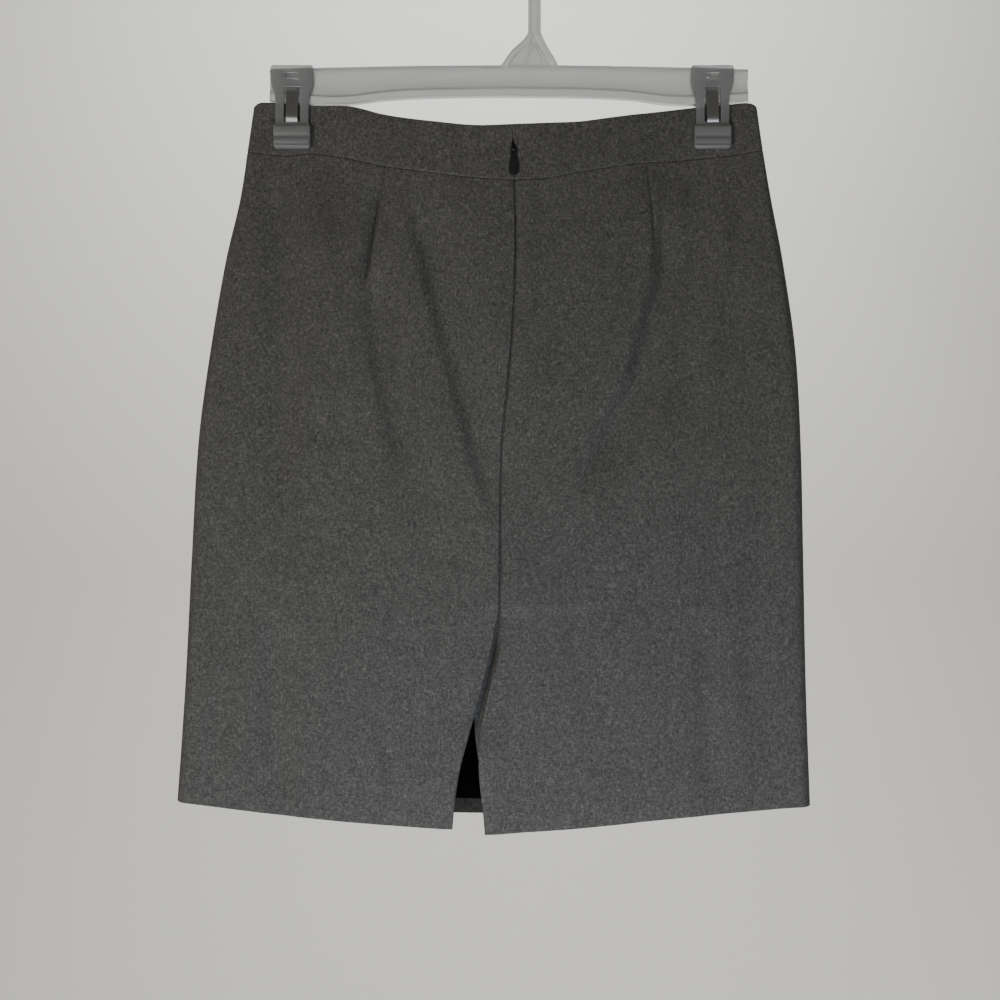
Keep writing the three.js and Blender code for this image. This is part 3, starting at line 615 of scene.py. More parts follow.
def wool_flannel():
    """Woven wool, milled and brushed: matt, a heather mixture of fibres, with a short raised nap."""
    material, tree, shader = new_material("wool flannel, brushed")
    if tree is None:
        return material
    colours = bpy.context.scene.skirt_colours
    place = node(tree, "ShaderNodeTexCoord").outputs["Object"]
    lengthways = node(tree, "ShaderNodeMapping", {"Vector": place, "Scale": (1, 1, 0.62)}).outputs[0]
    crossways = node(tree, "ShaderNodeMapping", {"Vector": place, "Scale": (0.4, 1, 1.1)}).outputs[0]
    # clumps of dyed fibre, about 1.5 mm, are the finest that a render of the whole skirt shows
    clumps = node(
        tree, "ShaderNodeTexNoise",
        {
            "Vector": lengthways, "Scale": per_metre(1.5), "Detail": 4, "Roughness": 0.72,
            "Distortion": 0.3,
        },
    )
    # weft yarns at 1.2 mm, drawn out along the cloth's width
    yarns = node(
        tree, "ShaderNodeTexNoise",
        {"Vector": crossways, "Scale": per_metre(1.2), "Detail": 3, "Roughness": 0.6},
    )
    # blotches of the milled face, about 9 mm
    blotches = node(
        tree, "ShaderNodeTexNoise",
        {"Vector": place, "Scale": per_metre(9), "Detail": 3, "Roughness": 0.55},
    )
    mixed = node(
        tree, "ShaderNodeMix", {"Factor": 0.35, "A": clumps.outputs["Fac"], "B": yarns.outputs["Fac"]},
        data_type="FLOAT",
    )
    toned = node(
        tree, "ShaderNodeMix",
        {"Factor": 0.07, "A": mixed.outputs["Result"], "B": blotches.outputs["Fac"]},
        data_type="FLOAT",
    )
    # single fibres and their ends, about 0.3 mm thick and 1 mm long, which show from close by
    crossed = node(
        tree, "ShaderNodeMapping", {"Vector": place, "Scale": (1, 1, 0.3), "Rotation": (0, 0.5, 0)},
    ).outputs[0]
    fibres = node(
        tree, "ShaderNodeTexNoise",
        {"Vector": crossed, "Scale": per_metre(0.35), "Detail": 2, "Distortion": 0.6},
    )
    haired = node(
        tree, "ShaderNodeMix",
        {"Factor": 0.16, "A": toned.outputs["Result"], "B": fibres.outputs["Fac"]},
        data_type="FLOAT",
    )
    ramp = node(tree, "ShaderNodeValToRGB", {"Fac": haired.outputs["Result"]})
    stops = ramp.color_ramp.elements
    stops[0].position, stops[0].color = 0.36, rgba(colours.wool_dark)
    stops[1].position, stops[1].color = 0.66, rgba(colours.wool_light)
    middle = stops.new(0.5)
    middle.color = rgba(colours.wool_mid)
    # the cloth's inner faces are darkened: painted shade, standing in for the shadow inside the skirt,
    # behind its hem and in its slit
    inside = node(tree, "ShaderNodeAttribute", attribute_name="inside")
    painted_inside_shade = (0.35, 0.34, 0.32, 1)
    inside_with_painted_shade = node(
        tree, "ShaderNodeMix",
        {"Factor": inside.outputs["Fac"], "A": ramp.outputs["Color"], "B": painted_inside_shade},
        data_type="RGBA", blend_type="MULTIPLY",
    )
    tree.links.new(inside_with_painted_shade.outputs["Result"], shader.inputs["Base Color"])
    # the raised nap, about 0.9 mm, and the yarns lift the surface by less than half a millimetre
    nap = node(
        tree, "ShaderNodeTexNoise",
        {"Vector": place, "Scale": per_metre(0.9), "Detail": 3, "Roughness": 0.7},
    )
    height = node(
        tree, "ShaderNodeMix",
        {"Factor": 0.4, "A": nap.outputs["Fac"], "B": haired.outputs["Result"]},
        data_type="FLOAT",
    )
    bump = node(
        tree, "ShaderNodeBump",
        {"Strength": 0.38, "Distance": 0.0004, "Height": height.outputs["Result"]},
    )
    tree.links.new(bump.outputs["Normal"], shader.inputs["Normal"])
    shader.inputs["Roughness"].default_value = 0.95
    shader.inputs["Specular IOR Level"].default_value = 0.15
    shader.inputs["Sheen Weight"].default_value = 0.06
    shader.inputs["Sheen Roughness"].default_value = 0.5
    shader.inputs["Sheen Tint"].default_value = (0.85, 0.85, 0.82, 1)
    return material


def lining_satin():
    """Acetate satin: smooth and black, with a soft streaky shine along its warp."""
    material, tree, shader = new_material("acetate satin, black")
    if tree is None:
        return material
    # black satin deepened to near zero: partly the lining's dye, partly painted shade for the inside
    # behind the slit
    shader.inputs["Base Color"].default_value = rgba(bpy.context.scene.skirt_colours.lining)
    place = node(tree, "ShaderNodeTexCoord").outputs["Object"]
    warp = node(tree, "ShaderNodeMapping", {"Vector": place, "Scale": (1, 1, 0.05)}).outputs[0]
    threads = node(tree, "ShaderNodeTexNoise", {"Vector": warp, "Scale": per_metre(0.8), "Detail": 2})
    gloss = node(
        tree, "ShaderNodeMapRange", {"Value": threads.outputs["Fac"], "To Min": 0.6, "To Max": 0.75}
    )
    tree.links.new(gloss.outputs["Result"], shader.inputs["Roughness"])
    creases = node(tree, "ShaderNodeTexNoise", {"Vector": place, "Scale": per_metre(26), "Detail": 3})
    bump = node(
        tree, "ShaderNodeBump",
        {"Strength": 0.3, "Distance": 0.001, "Height": creases.outputs["Fac"]},
    )
    tree.links.new(bump.outputs["Normal"], shader.inputs["Normal"])
    shader.inputs["Specular IOR Level"].default_value = 0.03
    return material


def zip_tape_twill():
    """Woven polyester tape: black, matt, with a herringbone too fine to see singly."""
    material, tree, shader = new_material("polyester tape, woven")
    if tree is None:
        return material
    shader.inputs["Base Color"].default_value = rgba(bpy.context.scene.skirt_colours.zip_black)
    place = node(tree, "ShaderNodeTexCoord").outputs["Object"]
    turned = node(tree, "ShaderNodeMapping", {"Vector": place, "Rotation": (0, 0.8, 0)}).outputs[0]
    # ribs of the tape, 0.8 mm apart, a little coarser than real so that they show
    ribs = node(
        tree, "ShaderNodeTexWave",
        {"Vector": turned, "Scale": per_metre(0.8) / (2 * math.pi), "Distortion": 1},
    )
    bump = node(
        tree, "ShaderNodeBump",
        {"Strength": 0.5, "Distance": 0.0002, "Height": ribs.outputs["Fac"]},
    )
    tree.links.new(bump.outputs["Normal"], shader.inputs["Normal"])
    shader.inputs["Roughness"].default_value = 0.8
    return material


def nylon_coil():
    """Drawn nylon: black and half glossy, as the zip's coil is."""
    material, tree, shader = new_material("nylon coil, black")
    if tree is None:
        return material
    shader.inputs["Base Color"].default_value = rgba(bpy.context.scene.skirt_colours.zip_black)
    place = node(tree, "ShaderNodeTexCoord").outputs["Object"]
    grain = node(tree, "ShaderNodeTexNoise", {"Vector": place, "Scale": per_metre(2), "Detail": 2})
    gloss = node(
        tree, "ShaderNodeMapRange", {"Value": grain.outputs["Fac"], "To Min": 0.35, "To Max": 0.5}
    )
    tree.links.new(gloss.outputs["Result"], shader.inputs["Roughness"])
    shader.inputs["IOR"].default_value = 1.53
    return material


def zinc_enamel():
    """Die-cast zinc under dark stoved enamel: smooth, with a soft gloss and slight wear."""
    material, tree, shader = new_material("zinc, enamelled")
    if tree is None:
        return material
    place = node(tree, "ShaderNodeTexCoord").outputs["Object"]
    cloud = node(tree, "ShaderNodeTexNoise", {"Vector": place, "Scale": per_metre(3), "Detail": 3})
    tone = rgba(bpy.context.scene.skirt_colours.enamel)
    worn = tuple(min(1, c * 2.2) for c in tone[:3]) + (1,)
    blend = node(
        tree, "ShaderNodeMix", {"Factor": cloud.outputs["Fac"], "A": tone, "B": worn}, data_type="RGBA"
    )
    tree.links.new(blend.outputs["Result"], shader.inputs["Base Color"])
    gloss = node(
        tree, "ShaderNodeMapRange", {"Value": cloud.outputs["Fac"], "To Min": 0.28, "To Max": 0.45}
    )
    tree.links.new(gloss.outputs["Result"], shader.inputs["Roughness"])
    shader.inputs["Metallic"].default_value = 0.3
    return material


def clear_styrene():
    """Injection-moulded polystyrene: clear but milky from handling, with faint flow marks."""
    material, tree, shader = new_material("polystyrene, clear moulded")
    if tree is None:
        return material
    place = node(tree, "ShaderNodeTexCoord").outputs["Object"]
    shader.inputs["Base Color"].default_value = rgba(bpy.context.scene.skirt_colours.plastic)
    # flow marks and hazing, about 12 mm long
    flow = node(tree, "ShaderNodeMapping", {"Vector": place, "Scale": (0.4, 1, 1)}).outputs[0]
    haze = node(
        tree, "ShaderNodeTexNoise",
        {"Vector": flow, "Scale": per_metre(12), "Detail": 4, "Roughness": 0.6},
    )
    gloss = node(
        tree, "ShaderNodeMapRange", {"Value": haze.outputs["Fac"], "To Min": 0.26, "To Max": 0.42}
    )
    tree.links.new(gloss.outputs["Result"], shader.inputs["Roughness"])
    shader.inputs["IOR"].default_value = 1.45
    shader.inputs["Transmission Weight"].default_value = 0.74
    return material


def spring_steel():
    """Rolled spring steel strip: bright, with fine lines along its length."""
    material, tree, shader = new_material("spring steel, rolled")
    if tree is None:
        return material
    shader.inputs["Base Color"].default_value = rgba(bpy.context.scene.skirt_colours.steel)
    shader.inputs["Metallic"].default_value = 1
    place = node(tree, "ShaderNodeTexCoord").outputs["Object"]
    rolled = node(tree, "ShaderNodeMapping", {"Vector": place, "Scale": (1, 0.06, 0.06)}).outputs[0]
    lines = node(tree, "ShaderNodeTexNoise", {"Vector": rolled, "Scale": per_metre(0.5), "Detail": 2})
    gloss = node(
        tree, "ShaderNodeMapRange", {"Value": lines.outputs["Fac"], "To Min": 0.24, "To Max": 0.38}
    )
    tree.links.new(gloss.outputs["Result"], shader.inputs["Roughness"])
    return material


def panel_trim(sizes):
    """What sewing does to a back panel: its dart, its pressed-open seam, its vent and its hem."""
    rise = sizes.seam_rise / MM
    hem_turn = HEM_LEVELS["back"] + sizes.hem_turn / MM

    def trim(half, x, z, edge):
        # a dart is pressed to the centre, so its outer side slopes and its inner one is steep
        outward = (x - curve(DARTS[half], "z", "x", z)) * np.sign(x - edge)
        reach = np.where(outward > 0, DART_REACH[half], DART_INNER_REACH)
        stitched = DART_SINK[half] * np.maximum(1 - np.abs(outward) / reach, 0) ** DART_FALL
        stitched = stitched * ease((z - DART_POINTS[half]) / DART_FADE)
        line = DART_LINE[half] * np.maximum(1 - np.abs(outward) / STITCH_HALF, 0)
        stitched = stitched + line * ease((z - DART_POINTS[half] - STITCH_START) / STITCH_FADE)
        stitched = stitched * mix(1, PRESSED_SHARE, ease((z - PRESSED_Z) / PRESSED_REACH))
        from_edge = np.abs(x - edge)
        pressed_open = 1 - ease((from_edge - SEAM_TURNING) / TURNING_FADE)
        allowance = rise * ease(from_edge / TURNING_FADE) * pressed_open
        vent_width = 1 - ease((from_edge - VENT_TURNING) / VENT_FADE)
        vent = rise * ease((VENT_TOP - z) / VENT_TOP_FADE) * vent_width
        turning = rise * ease((hem_turn - z) / TURNING_FADE)
        return allowance + vent + turning - stitched

    return trim


class SKIRT_OT_back_panels(bpy.types.Operator):
    """Make the two back panels, with their darts, creases and slit edges"""

    bl_idname = "skirt.back_panels"
    bl_label = "Back panels"

    def execute(self, context):
        sizes = context.scene.skirt_cloth
        for half in ("left", "right"):
            piece = cloth(
                f"back_panel_{half}", spread(150), np.linspace(0, 1, 251),
                back_place(half, ("seam", -SEWN_GAP), ("hem", 0), panel_trim(sizes)),
                -1, sizes.panel_wall, sizes.edge_round, wool_flannel(), [f"back_{half}"],
            )
        return {"FINISHED"}


class SKIRT_OT_waistband(bpy.types.Operator):
    """Make the shaped waistband: two back halves and the front"""

    bl_idname = "skirt.waistband"
    bl_label = "Waistband"

    def execute(self, context):
        sizes = context.scene.skirt_cloth
        upper, lower = ("top", 0), ("seam", SEWN_GAP)
        proud = sizes.band_proud / MM
        for half in ("left", "right"):
            piece = cloth(
                f"waistband_{half}", spread(104), np.linspace(0, 1, 17),
                back_place(half, upper, lower, proud=proud),
                -1, sizes.band_wall, sizes.edge_round, wool_flannel(),
                [f"waistband_back_{half}"],
            )
        piece = cloth(
            "front_waistband", both_sides(spread(70, 0)), np.linspace(0, 1, 17),
            front_place(upper, lower, proud=proud),
            1, sizes.band_wall, sizes.edge_round, wool_flannel(), ["waistband_front"],
        )
        # the front is 392 mm long, 38 mm high and curved, so it takes 42 mm of cloth
        return {"FINISHED"}


class SKIRT_OT_front_panel(bpy.types.Operator):
    """Make the plain front panel with its soft creases"""

    bl_idname = "skirt.front_panel"
    bl_label = "Front panel"

    def execute(self, context):
        sizes = context.scene.skirt_cloth
        hem_turn = HEM_LEVELS["front"] + sizes.hem_turn / MM

        def trim(x, z, hem):
            return sizes.seam_rise / MM * ease((hem_turn - z) / TURNING_FADE)

        piece = cloth(
            "front_panel", both_sides(spread(80, 0)), np.linspace(0, 1, 181),
            front_place(("seam", -SEWN_GAP), ("hem", 0), trim),
            1, sizes.panel_wall, sizes.edge_round, wool_flannel(), ["front"],
        )
        # one piece, cut 492 mm wide at the hem and 500 mm long
        return {"FINISHED"}


class SKIRT_OT_lining(bpy.types.Operator):
    """Make the front lining, which shows behind the slit"""

    bl_idname = "skirt.lining"
    bl_label = "Lining"

    def execute(self, context):
        sizes = context.scene.skirt_cloth

        def behind(column, down):
            # its hem drifts inwards, and its sides stay on the front
            drift = sizes.lining_drift / MM * ease(down) * ease(4 * (1 - np.abs(column)))
            return sizes.panel_wall / MM + SEAM_GAP + drift

        piece = cloth(
            "lining_front_panel", np.linspace(-1, 1, 101), np.linspace(0, LINING_HEM_SHARE, 121),
            front_place(("seam", -SEWN_GAP), ("hem", 0), behind=behind),
            1, sizes.lining_wall, sizes.lining_wall * 0.35, lining_satin(), ["lining_front"],
        )
        # cut 474 mm wide and 487 mm long, a little smaller than the front
        return {"FINISHED"}


class SKIRT_OT_slit_facing(bpy.types.Operator):
    """Make the turned-in facing of the slit's right edge"""

    bl_idname = "skirt.slit_facing"
    bl_label = "Slit facing"

    def execute(self, context):
        sizes = context.scene.skirt_cloth
        top, foot = SLIT_TOP + FACING_ABOVE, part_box("slit_facing_right")[0].z / MM
        sunk_by = sizes.panel_wall / MM + SEAM_GAP

        def place(across, down):
            z = mix(top, foot, down)
            edge = centre_edge("right", z)
            x = mix(curve(SLIT, "z", "facing", z), edge + FACING_WIDTH, across)
            past_edge = ease((edge + FACING_TURN_START - x) / FACING_TURN_REACH)
            turned = FACING_TURN * past_edge * ease((FACING_TURN_TOP - z) / FACING_TURN_FADE)
            y = -(SEWN_GAP + bulge("back", x, z)) + sunk_by + turned
            return np.stack([x, y, z], axis=1), np.stack([x, z], axis=1)

        piece = cloth(
            "facing_right", np.linspace(0, 1, 17), np.linspace(0, 1, 61), place,
            -1, sizes.panel_wall, sizes.edge_round, wool_flannel(), ["slit_facing_right"],
        )
        # cut 32 mm wide and 164 mm long
        return {"FINISHED"}


def mirrored(side):
    """A closed outline from its right-hand side."""
    return [*side, *((-a, b) for a, b in reversed(side))]


def directions(line):
    """The unit direction of a line at each of its points."""
    ahead = np.gradient(line, axis=0)
    return ahead / np.linalg.norm(ahead, axis=1)[:, None]


def smoothed(line, rounds):
    """A line whose corners are rounded by drawing each point towards its neighbours."""
    for _ in range(rounds):
        line[1:-1] = (line[:-2] + 2 * line[1:-1] + line[2:]) / 4
    return line


def swept_bmesh(rings):
    """A closed solid through rings of points, in millimetres, with both ends capped."""
    rings = np.asarray(rings, float)
    count, around = rings.shape[:2]

    def place(station, turn):
        points = rings[station.astype(int), turn.astype(int) % around]
        return points, points[:, [0, 2]]

    bm = placed_grid(np.arange(count), np.arange(around + 1), place)
    bmesh.ops.remove_doubles(bm, verts=bm.verts[:], dist=1e-6)
    ends = [e for e in bm.edges if e.is_boundary]
    bmesh.ops.holes_fill(bm, edges=ends, sides=0)
    bmesh.ops.recalc_face_normals(bm, faces=bm.faces[:])
    return bm


def plate_bmesh(outline, holes, y_from, y_to, rounding):
    """A flat outline in X and Z, in millimetres, made thick along Y, with rounded edges."""
    flat = bpy.data.curves.new("outline", "CURVE")
    flat.dimensions = "2D"
    flat.fill_mode = "BOTH"
    flat.extrude = (y_to - y_from) / 2 - rounding
    flat.bevel_depth = rounding
    flat.bevel_resolution = 2
    flat.offset = -rounding
    for loop in (outline, *holes):
        spline = flat.splines.new("POLY")
        spline.points.add(len(loop) - 1)
        spline.use_cyclic_u = True
        for point, (x, z) in zip(spline.points, loop):
            point.co = (x, z, 0, 1)
    carrier = bpy.data.objects.new("outline", flat)
    bpy.context.scene.collection.objects.link(carrier)
    seen = carrier.evaluated_get(bpy.context.evaluated_depsgraph_get())
    bm = bmesh.new()
    bm.from_mesh(seen.to_mesh())
    bpy.data.objects.remove(carrier)
    bpy.data.curves.remove(flat)
    bmesh.ops.remove_doubles(bm, verts=bm.verts[:], dist=1e-3)
    upright = Matrix.Translation((0, (y_from + y_to) / 2 * MM, 0)) @ Matrix.Rotation(math.pi / 2, 4, "X")
    bmesh.ops.transform(bm, matrix=upright @ Matrix.Scale(MM, 4), verts=bm.verts[:])
    bmesh.ops.recalc_face_normals(bm, faces=bm.faces[:])
    return bm


def united(parts):
    """One closed bmesh from several that overlap."""
    objects = []
    for bm in parts:
        mesh = bpy.data.meshes.new("part")
        bm.to_mesh(mesh)
        bm.free()
        carrier = bpy.data.objects.new("part", mesh)
        bpy.context.scene.collection.objects.link(carrier)
        objects.append(carrier)
    first = objects[0]
    for other in objects[1:]:
        union = first.modifiers.new("union", "BOOLEAN")
        union.operation = "UNION"
        union.solver = "EXACT"
        union.object = other
    seen = first.evaluated_get(bpy.context.evaluated_depsgraph_get())
    whole = bmesh.new()
    whole.from_mesh(seen.to_mesh())
    for carrier in objects:
        mesh = carrier.data
        bpy.data.objects.remove(carrier)
        bpy.data.meshes.remove(mesh)
    return whole


def sharpen(piece, degrees=38):
    """Keeps a moulding's true corners crisp while its rounded edges stay smooth."""
    piece.data.set_sharp_from_angle(angle=math.radians(degrees))


def centre_skin(x, z, depth):
    """A point at a depth behind the back's outer face."""
    return np.stack([x, -(SEWN_GAP + bulge("back", x, z)) + depth, z], axis=1)


class SKIRT_OT_zip_tape(bpy.types.Operator):
    """Make the zip's two tapes and its coil"""

    bl_idname = "skirt.zip_tape"
    bl_label = "Zip tape and coil"

    tape_width: length("Tape width", "Of each side of the zip", 0.012, 0.008, 0.02)
    tape_wall: length("Tape thickness", "Woven tape", 0.001, 0.0003, 0.002)
    tooth_pitch: length("Tooth spacing", "Along the coil", 0.0014, 0.0008, 0.003)

    def execute(self, context):
        depth = context.scene.skirt_cloth.band_wall / MM + SEAM_GAP
        foot = ZIP_TOP - ZIP_LENGTH
        width = self.tape_width / MM
        for half, way in (("left", -1), ("right", 1)):

            def place(across, down, way=way):
                z = mix(ZIP_TOP, foot, down)
                x = section("centre", z) + way * (half_gap(z) + mix(SEAM_GAP, width, across))
                return centre_skin(x, z, depth), np.stack([x, z], axis=1)

            piece = cloth(
                f"tape_{half}", np.linspace(0, 1, 9), np.linspace(0, 1, 91), place,
                -1, self.tape_wall, self.tape_wall * 0.3, zip_tape_twill(),
                [f"zip_tape_{half}"],
            )
        # a tooth is 2.1 mm across, 1.3 mm deep and 0.6 mm high, and leans as a coil's turn does
        tooth, lean, off_centre, off_tape = Matrix.Diagonal((2.1, 1.3, 0.6, 1)), 0.28, 0.62, 0.7
        deep = depth + self.tape_wall / MM + SEAM_GAP + off_tape
        pitch = self.tooth_pitch / MM
        coil_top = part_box("zip_coil")[1].z / MM
        bm = bmesh.new()
        for z in np.arange(coil_top - pitch / 2, foot + pitch / 2, -pitch):
            centre = section("centre", np.array([z]))
            for k, way in enumerate((-1, 1)):
                level = np.array([z - k * pitch / 2])
                middle = Matrix.Translation(centre_skin(centre + way * off_centre, level, deep)[0])
                made = bmesh.ops.create_cube(bm, size=1)["verts"]
                turn = Matrix.Rotation(way * lean, 4, "Y")
                bmesh.ops.transform(bm, matrix=middle @ turn @ tooth, verts=made)
        bmesh.ops.bevel(
            bm, geom=bm.edges[:], offset=0.18, offset_type="OFFSET", affect="EDGES", segments=1,
            profile=0.5, material=-1,
        )
        bmesh.ops.scale(bm, vec=(MM, MM, MM), verts=bm.verts[:])
        own_mesh("coil_teeth", bm, nylon_coil(), replaced=["zip_coil"])
        return {"FINISHED"}


def pivot():
    """The zip pull's hinge line, from the part's own joint, in millimetres."""
    joint = next(j for j in frame["joints"] if j["child"] == PULL_BODY)
    return [value / MM for value in joint["pos_m"]]


class SKIRT_OT_zip_slider(bpy.types.Operator):
    """Make the zip's slider, its bail and the drop-shaped pull"""

    bl_idname = "skirt.zip_slider"
    bl_label = "Zip slider and pull"

    pull_length: length("Pull length", "From the hinge to the foot", 0.0195, 0.01, 0.03)
    pull_width: length("Pull width", "At its widest", 0.0068, 0.004, 0.012)

    def execute(self, context):
        x0, y0, z0 = pivot()
        depth, plate = 2.8, 1
        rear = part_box("zip_slider")[1].y / MM
        front = rear - depth
        body = mirrored([(2.4, -5), (3.2, -3.6), (3.2, 2.6), (2.2, 4.6), (0.9, 5)])
        body = [(x0 + x, z0 + z) for x, z in body]
        neck = [(x0 + x, z0 + z) for x, z in mirrored([(0.8, -4), (0.8, 4.2)])]
        parts = [
            plate_bmesh(body, (), front, front + plate, 0.25),
            plate_bmesh(body, (), rear - plate, rear, 0.25),
            plate_bmesh(neck, (), front + 0.6, rear - 0.6, 0.1),
            self.bail(x0, y0, z0, front + 0.5),
        ]
        piece = own_mesh(
            "slider", united(parts), zinc_enamel(), replaced=["zip_slider"]
        )
        sharpen(piece)
        drop = self.pull(x0, y0, z0)
        piece = own_mesh("pull", drop, zinc_enamel(), PULL_BODY, ["zip_pull"])
        sharpen(piece, 50)
        return {"FINISHED"}

    @staticmethod
    def bail(x0, y0, z0, root):
        """The staple on the slider's face that the pull swings on."""
        middle, half_width, half_wall = 1.85, 0.7, 0.42
        turn = np.linspace(-1.57, 1.57, 17)
        arc = [(y0 - middle * math.cos(a), middle * math.sin(a)) for a in turn]
        line = np.array([(root, -middle), *arc, (root, middle)])
        rings = []
        for (y, z), (ty, tz) in zip(line, directions(line)):
            # a square section with well-rounded corners
            ring = []
            for a in np.linspace(0, 2 * math.pi, 13)[:-1]:
                across = half_width * np.sign(math.cos(a)) * abs(math.cos(a)) ** 0.5
                up = half_wall * np.sign(math.sin(a)) * abs(math.sin(a)) ** 0.5
                ring.append((x0 + across, y - tz * up, z0 + z + ty * up))
            rings.append(ring)
        return swept_bmesh(rings)

    def pull(self, x0, y0, z0):
        """The pull: an eye round the bail, then a drop with a rounded foot."""
        half, long = self.pull_width / MM / 2, self.pull_length / MM
        side = [(1.8, 0.75), (2.4, 0.1), (2.15, -2), (1.9, -4.4), (2.3, -6.6), (3, -9.4), (3.6, -12.6)]
        turn = np.linspace(0.1, math.pi / 2 - 0.12, 8)
        side += [(half * math.cos(a), -long + half - half * math.sin(a)) for a in turn]
        hole = [(-1.05, -0.75), (-1.05, -2.85), (1.05, -2.85), (1.05, -0.75)]
        moved = [[(x0 + x, z0 + z) for x, z in loop] for loop in (mirrored(side), hole)]
        half_wall = 0.6
        return plate_bmesh(moved[0], moved[1:], y0 - half_wall, y0 + half_wall, 0.22)


# The hanger's bar: its top sags towards its ends, and its foot goes by the distance from its middle.
BAR_LENGTH = 358
BAR_CENTRE = 3
BAR_TOP = -89.5
BAR_SAG = 3
BAR_FOOT = table(
    "out z",
    (0, -112.8),
    (60, -113.6),
    (95, -115.6),
    (118, -118.6),
    (142, -118.9),
    (179, -116.4),
)
# The hook: its middle line's radius, its section, its turn in degrees, and where its stem starts.
HOOK_RADIUS = 22.1
HOOK_WIDTH = 9.4
HOOK_DEPTH = 5
HOOK_SWEEP = 198
NECK_Z = -66


def bar_top(x):
    """The height of the bar's upper edge."""
    return BAR_TOP - BAR_SAG * ((x - BAR_CENTRE) / (BAR_LENGTH / 2)) ** 2


def bar_foot(x):
    """The height of the bar's lower edge."""
    return curve(BAR_FOOT, "out", "z", np.abs(x - BAR_CENTRE))


class SKIRT_OT_hanger(bpy.types.Operator):
    """Make the hanger: a ribbed bar, a gusset, a stem and a hook in one moulding"""

    bl_idname = "skirt.hanger"
    bl_label = "Hanger"

    web: length("Web thickness", "Of the bar and the gusset's pockets", 0.0022, 0.001, 0.004)

    def execute(self, context):
        parts = [self.bar(), self.hook(), *self.gusset()]
        piece = own_mesh(
            "hanger_moulding", united(parts), clear_styrene(), replaced=["hanger"]
        )
        sharpen(piece)
        return {"FINISHED"}

    def bar(self):
        """The bar: a thin web between a narrow upper rib and a wide lower one."""
        half = self.web / MM / 2
        ends = BAR_LENGTH / 2
        xs = np.linspace(-ends, ends, 73) + BAR_CENTRE
        rings = []
        for x in xs:
            top, foot = bar_top(np.array([x]))[0], bar_foot(np.array([x]))[0]
            rib = [(2.1, top), (2.6, top - 0.5), (2.6, top - 1.8), (2.1, top - 2.3), (1.4, top - 2.6)]
            web = [(half, top - 3.4), (half, foot + 8), (half + 0.4, foot + 7.3)]
            base = [(2.6, foot + 6.9), (3.2, foot + 6.3), (3.2, foot + 0.7), (2.5, foot)]
            rings.append([(x, y, z) for y, z in mirrored(rib + web + base)])
        return swept_bmesh(rings)

    def hook(self):
        """The stem and hook, with a rib down each edge and a rounded tip."""
        centre_z = -(HOOK_RADIUS - HOOK_WIDTH / 2)
        wide, deep, web = HOOK_WIDTH / 2, HOOK_DEPTH / 2, self.web / MM / 2 + 0.2
        side = [(wide - 0.5, deep), (wide - 1.7, deep), (wide - 2.1, deep - 0.4), (wide - 2.3, web)]
        ring = mirrored([(wide, -deep + 0.6), (wide, deep - 0.6), *side])
        ring += [(w, -y) for w, y in reversed(mirrored(side))]
        stations = [((HOOK_RADIUS, z), (1, 0), 1) for z in np.linspace(NECK_Z - 8, centre_z, 10)[:-1]]
        sweep = math.radians(HOOK_SWEEP)
        for a in np.linspace(0, sweep, 45):
            way = (math.cos(a), math.sin(a))
            stations.append(((HOOK_RADIUS * way[0], centre_z + HOOK_RADIUS * way[1]), way, 1))
        way = (math.cos(sweep), math.sin(sweep))
        ahead = (-way[1], way[0])
        tip = stations[-1][0]
        for a in np.linspace(0.25, 1.45, 6):
            on = wide * math.sin(a)
            stations.append(((tip[0] + ahead[0] * on, tip[1] + ahead[1] * on), way, math.cos(a)))
        rings = []
        for (x, z), (nx, nz), size in stations:
            # the rounded tip thins less than it narrows
            deep_size = 0.55 + 0.45 * size
            rings.append([(x + nx * w * size, y * deep_size, z + nz * w * size) for w, y in ring])
        return swept_bmesh(rings)

    def gusset(self):
        """A web under the stem, with thick rims and an arch."""
        half = self.web / MM / 2
        web = [(-2, BAR_TOP - 1), (5.4, -79), (14.8, -71), (17.6, NECK_Z), (26.6, NECK_Z), (31, -77)]
        web.append((39, BAR_TOP - 1))
        rims = [
            [(-1, BAR_TOP - 1.4), (3.2, -84.4), (7.2, -79.2), (15.6, -72.2), (19.4, NECK_Z)],
            [(38, BAR_TOP - 1.4), (34.6, -84.4), (29.6, -76.6), (24.8, NECK_Z)],
        ]
        arch = [(17.2, BAR_TOP - 1.4), (16.6, -79.6), (22.6, -72.4), (27, -80), (29.8, BAR_TOP - 1.4)]
        parts = [plate_bmesh(web, (), -half, half, 0.2)]
        parts += [self.rib(line, 2.2, HOOK_DEPTH / 2) for line in rims]
        parts.append(self.rib(arch, 1.1, HOOK_DEPTH / 2 - 0.3))
        return parts

    @staticmethod
    def rib(line, half_width, half_depth):
        """A rib of rounded section along a bent line in X and Z."""
        line = np.array(line, float)
        stations = np.linspace(0, 1, 4 * len(line))
        given = np.linspace(0, 1, len(line))
        line = smoothed(np.stack([np.interp(stations, given, axis) for axis in line.T], axis=1), 2)
        r, cut = 0.5, 0.15
        corner = [
            (half_width, half_depth - r),
            (half_width - cut, half_depth - cut),
            (half_width - r, half_depth),
        ]
        upper = mirrored(corner)
        ring = [*upper, *((w, -y) for w, y in reversed(upper))]
        rings = []
        for (x, z), (tx, tz) in zip(line, directions(line)):
            rings.append([(x - tz * w, y, z + tx * w) for w, y in ring])
        return swept_bmesh(rings)


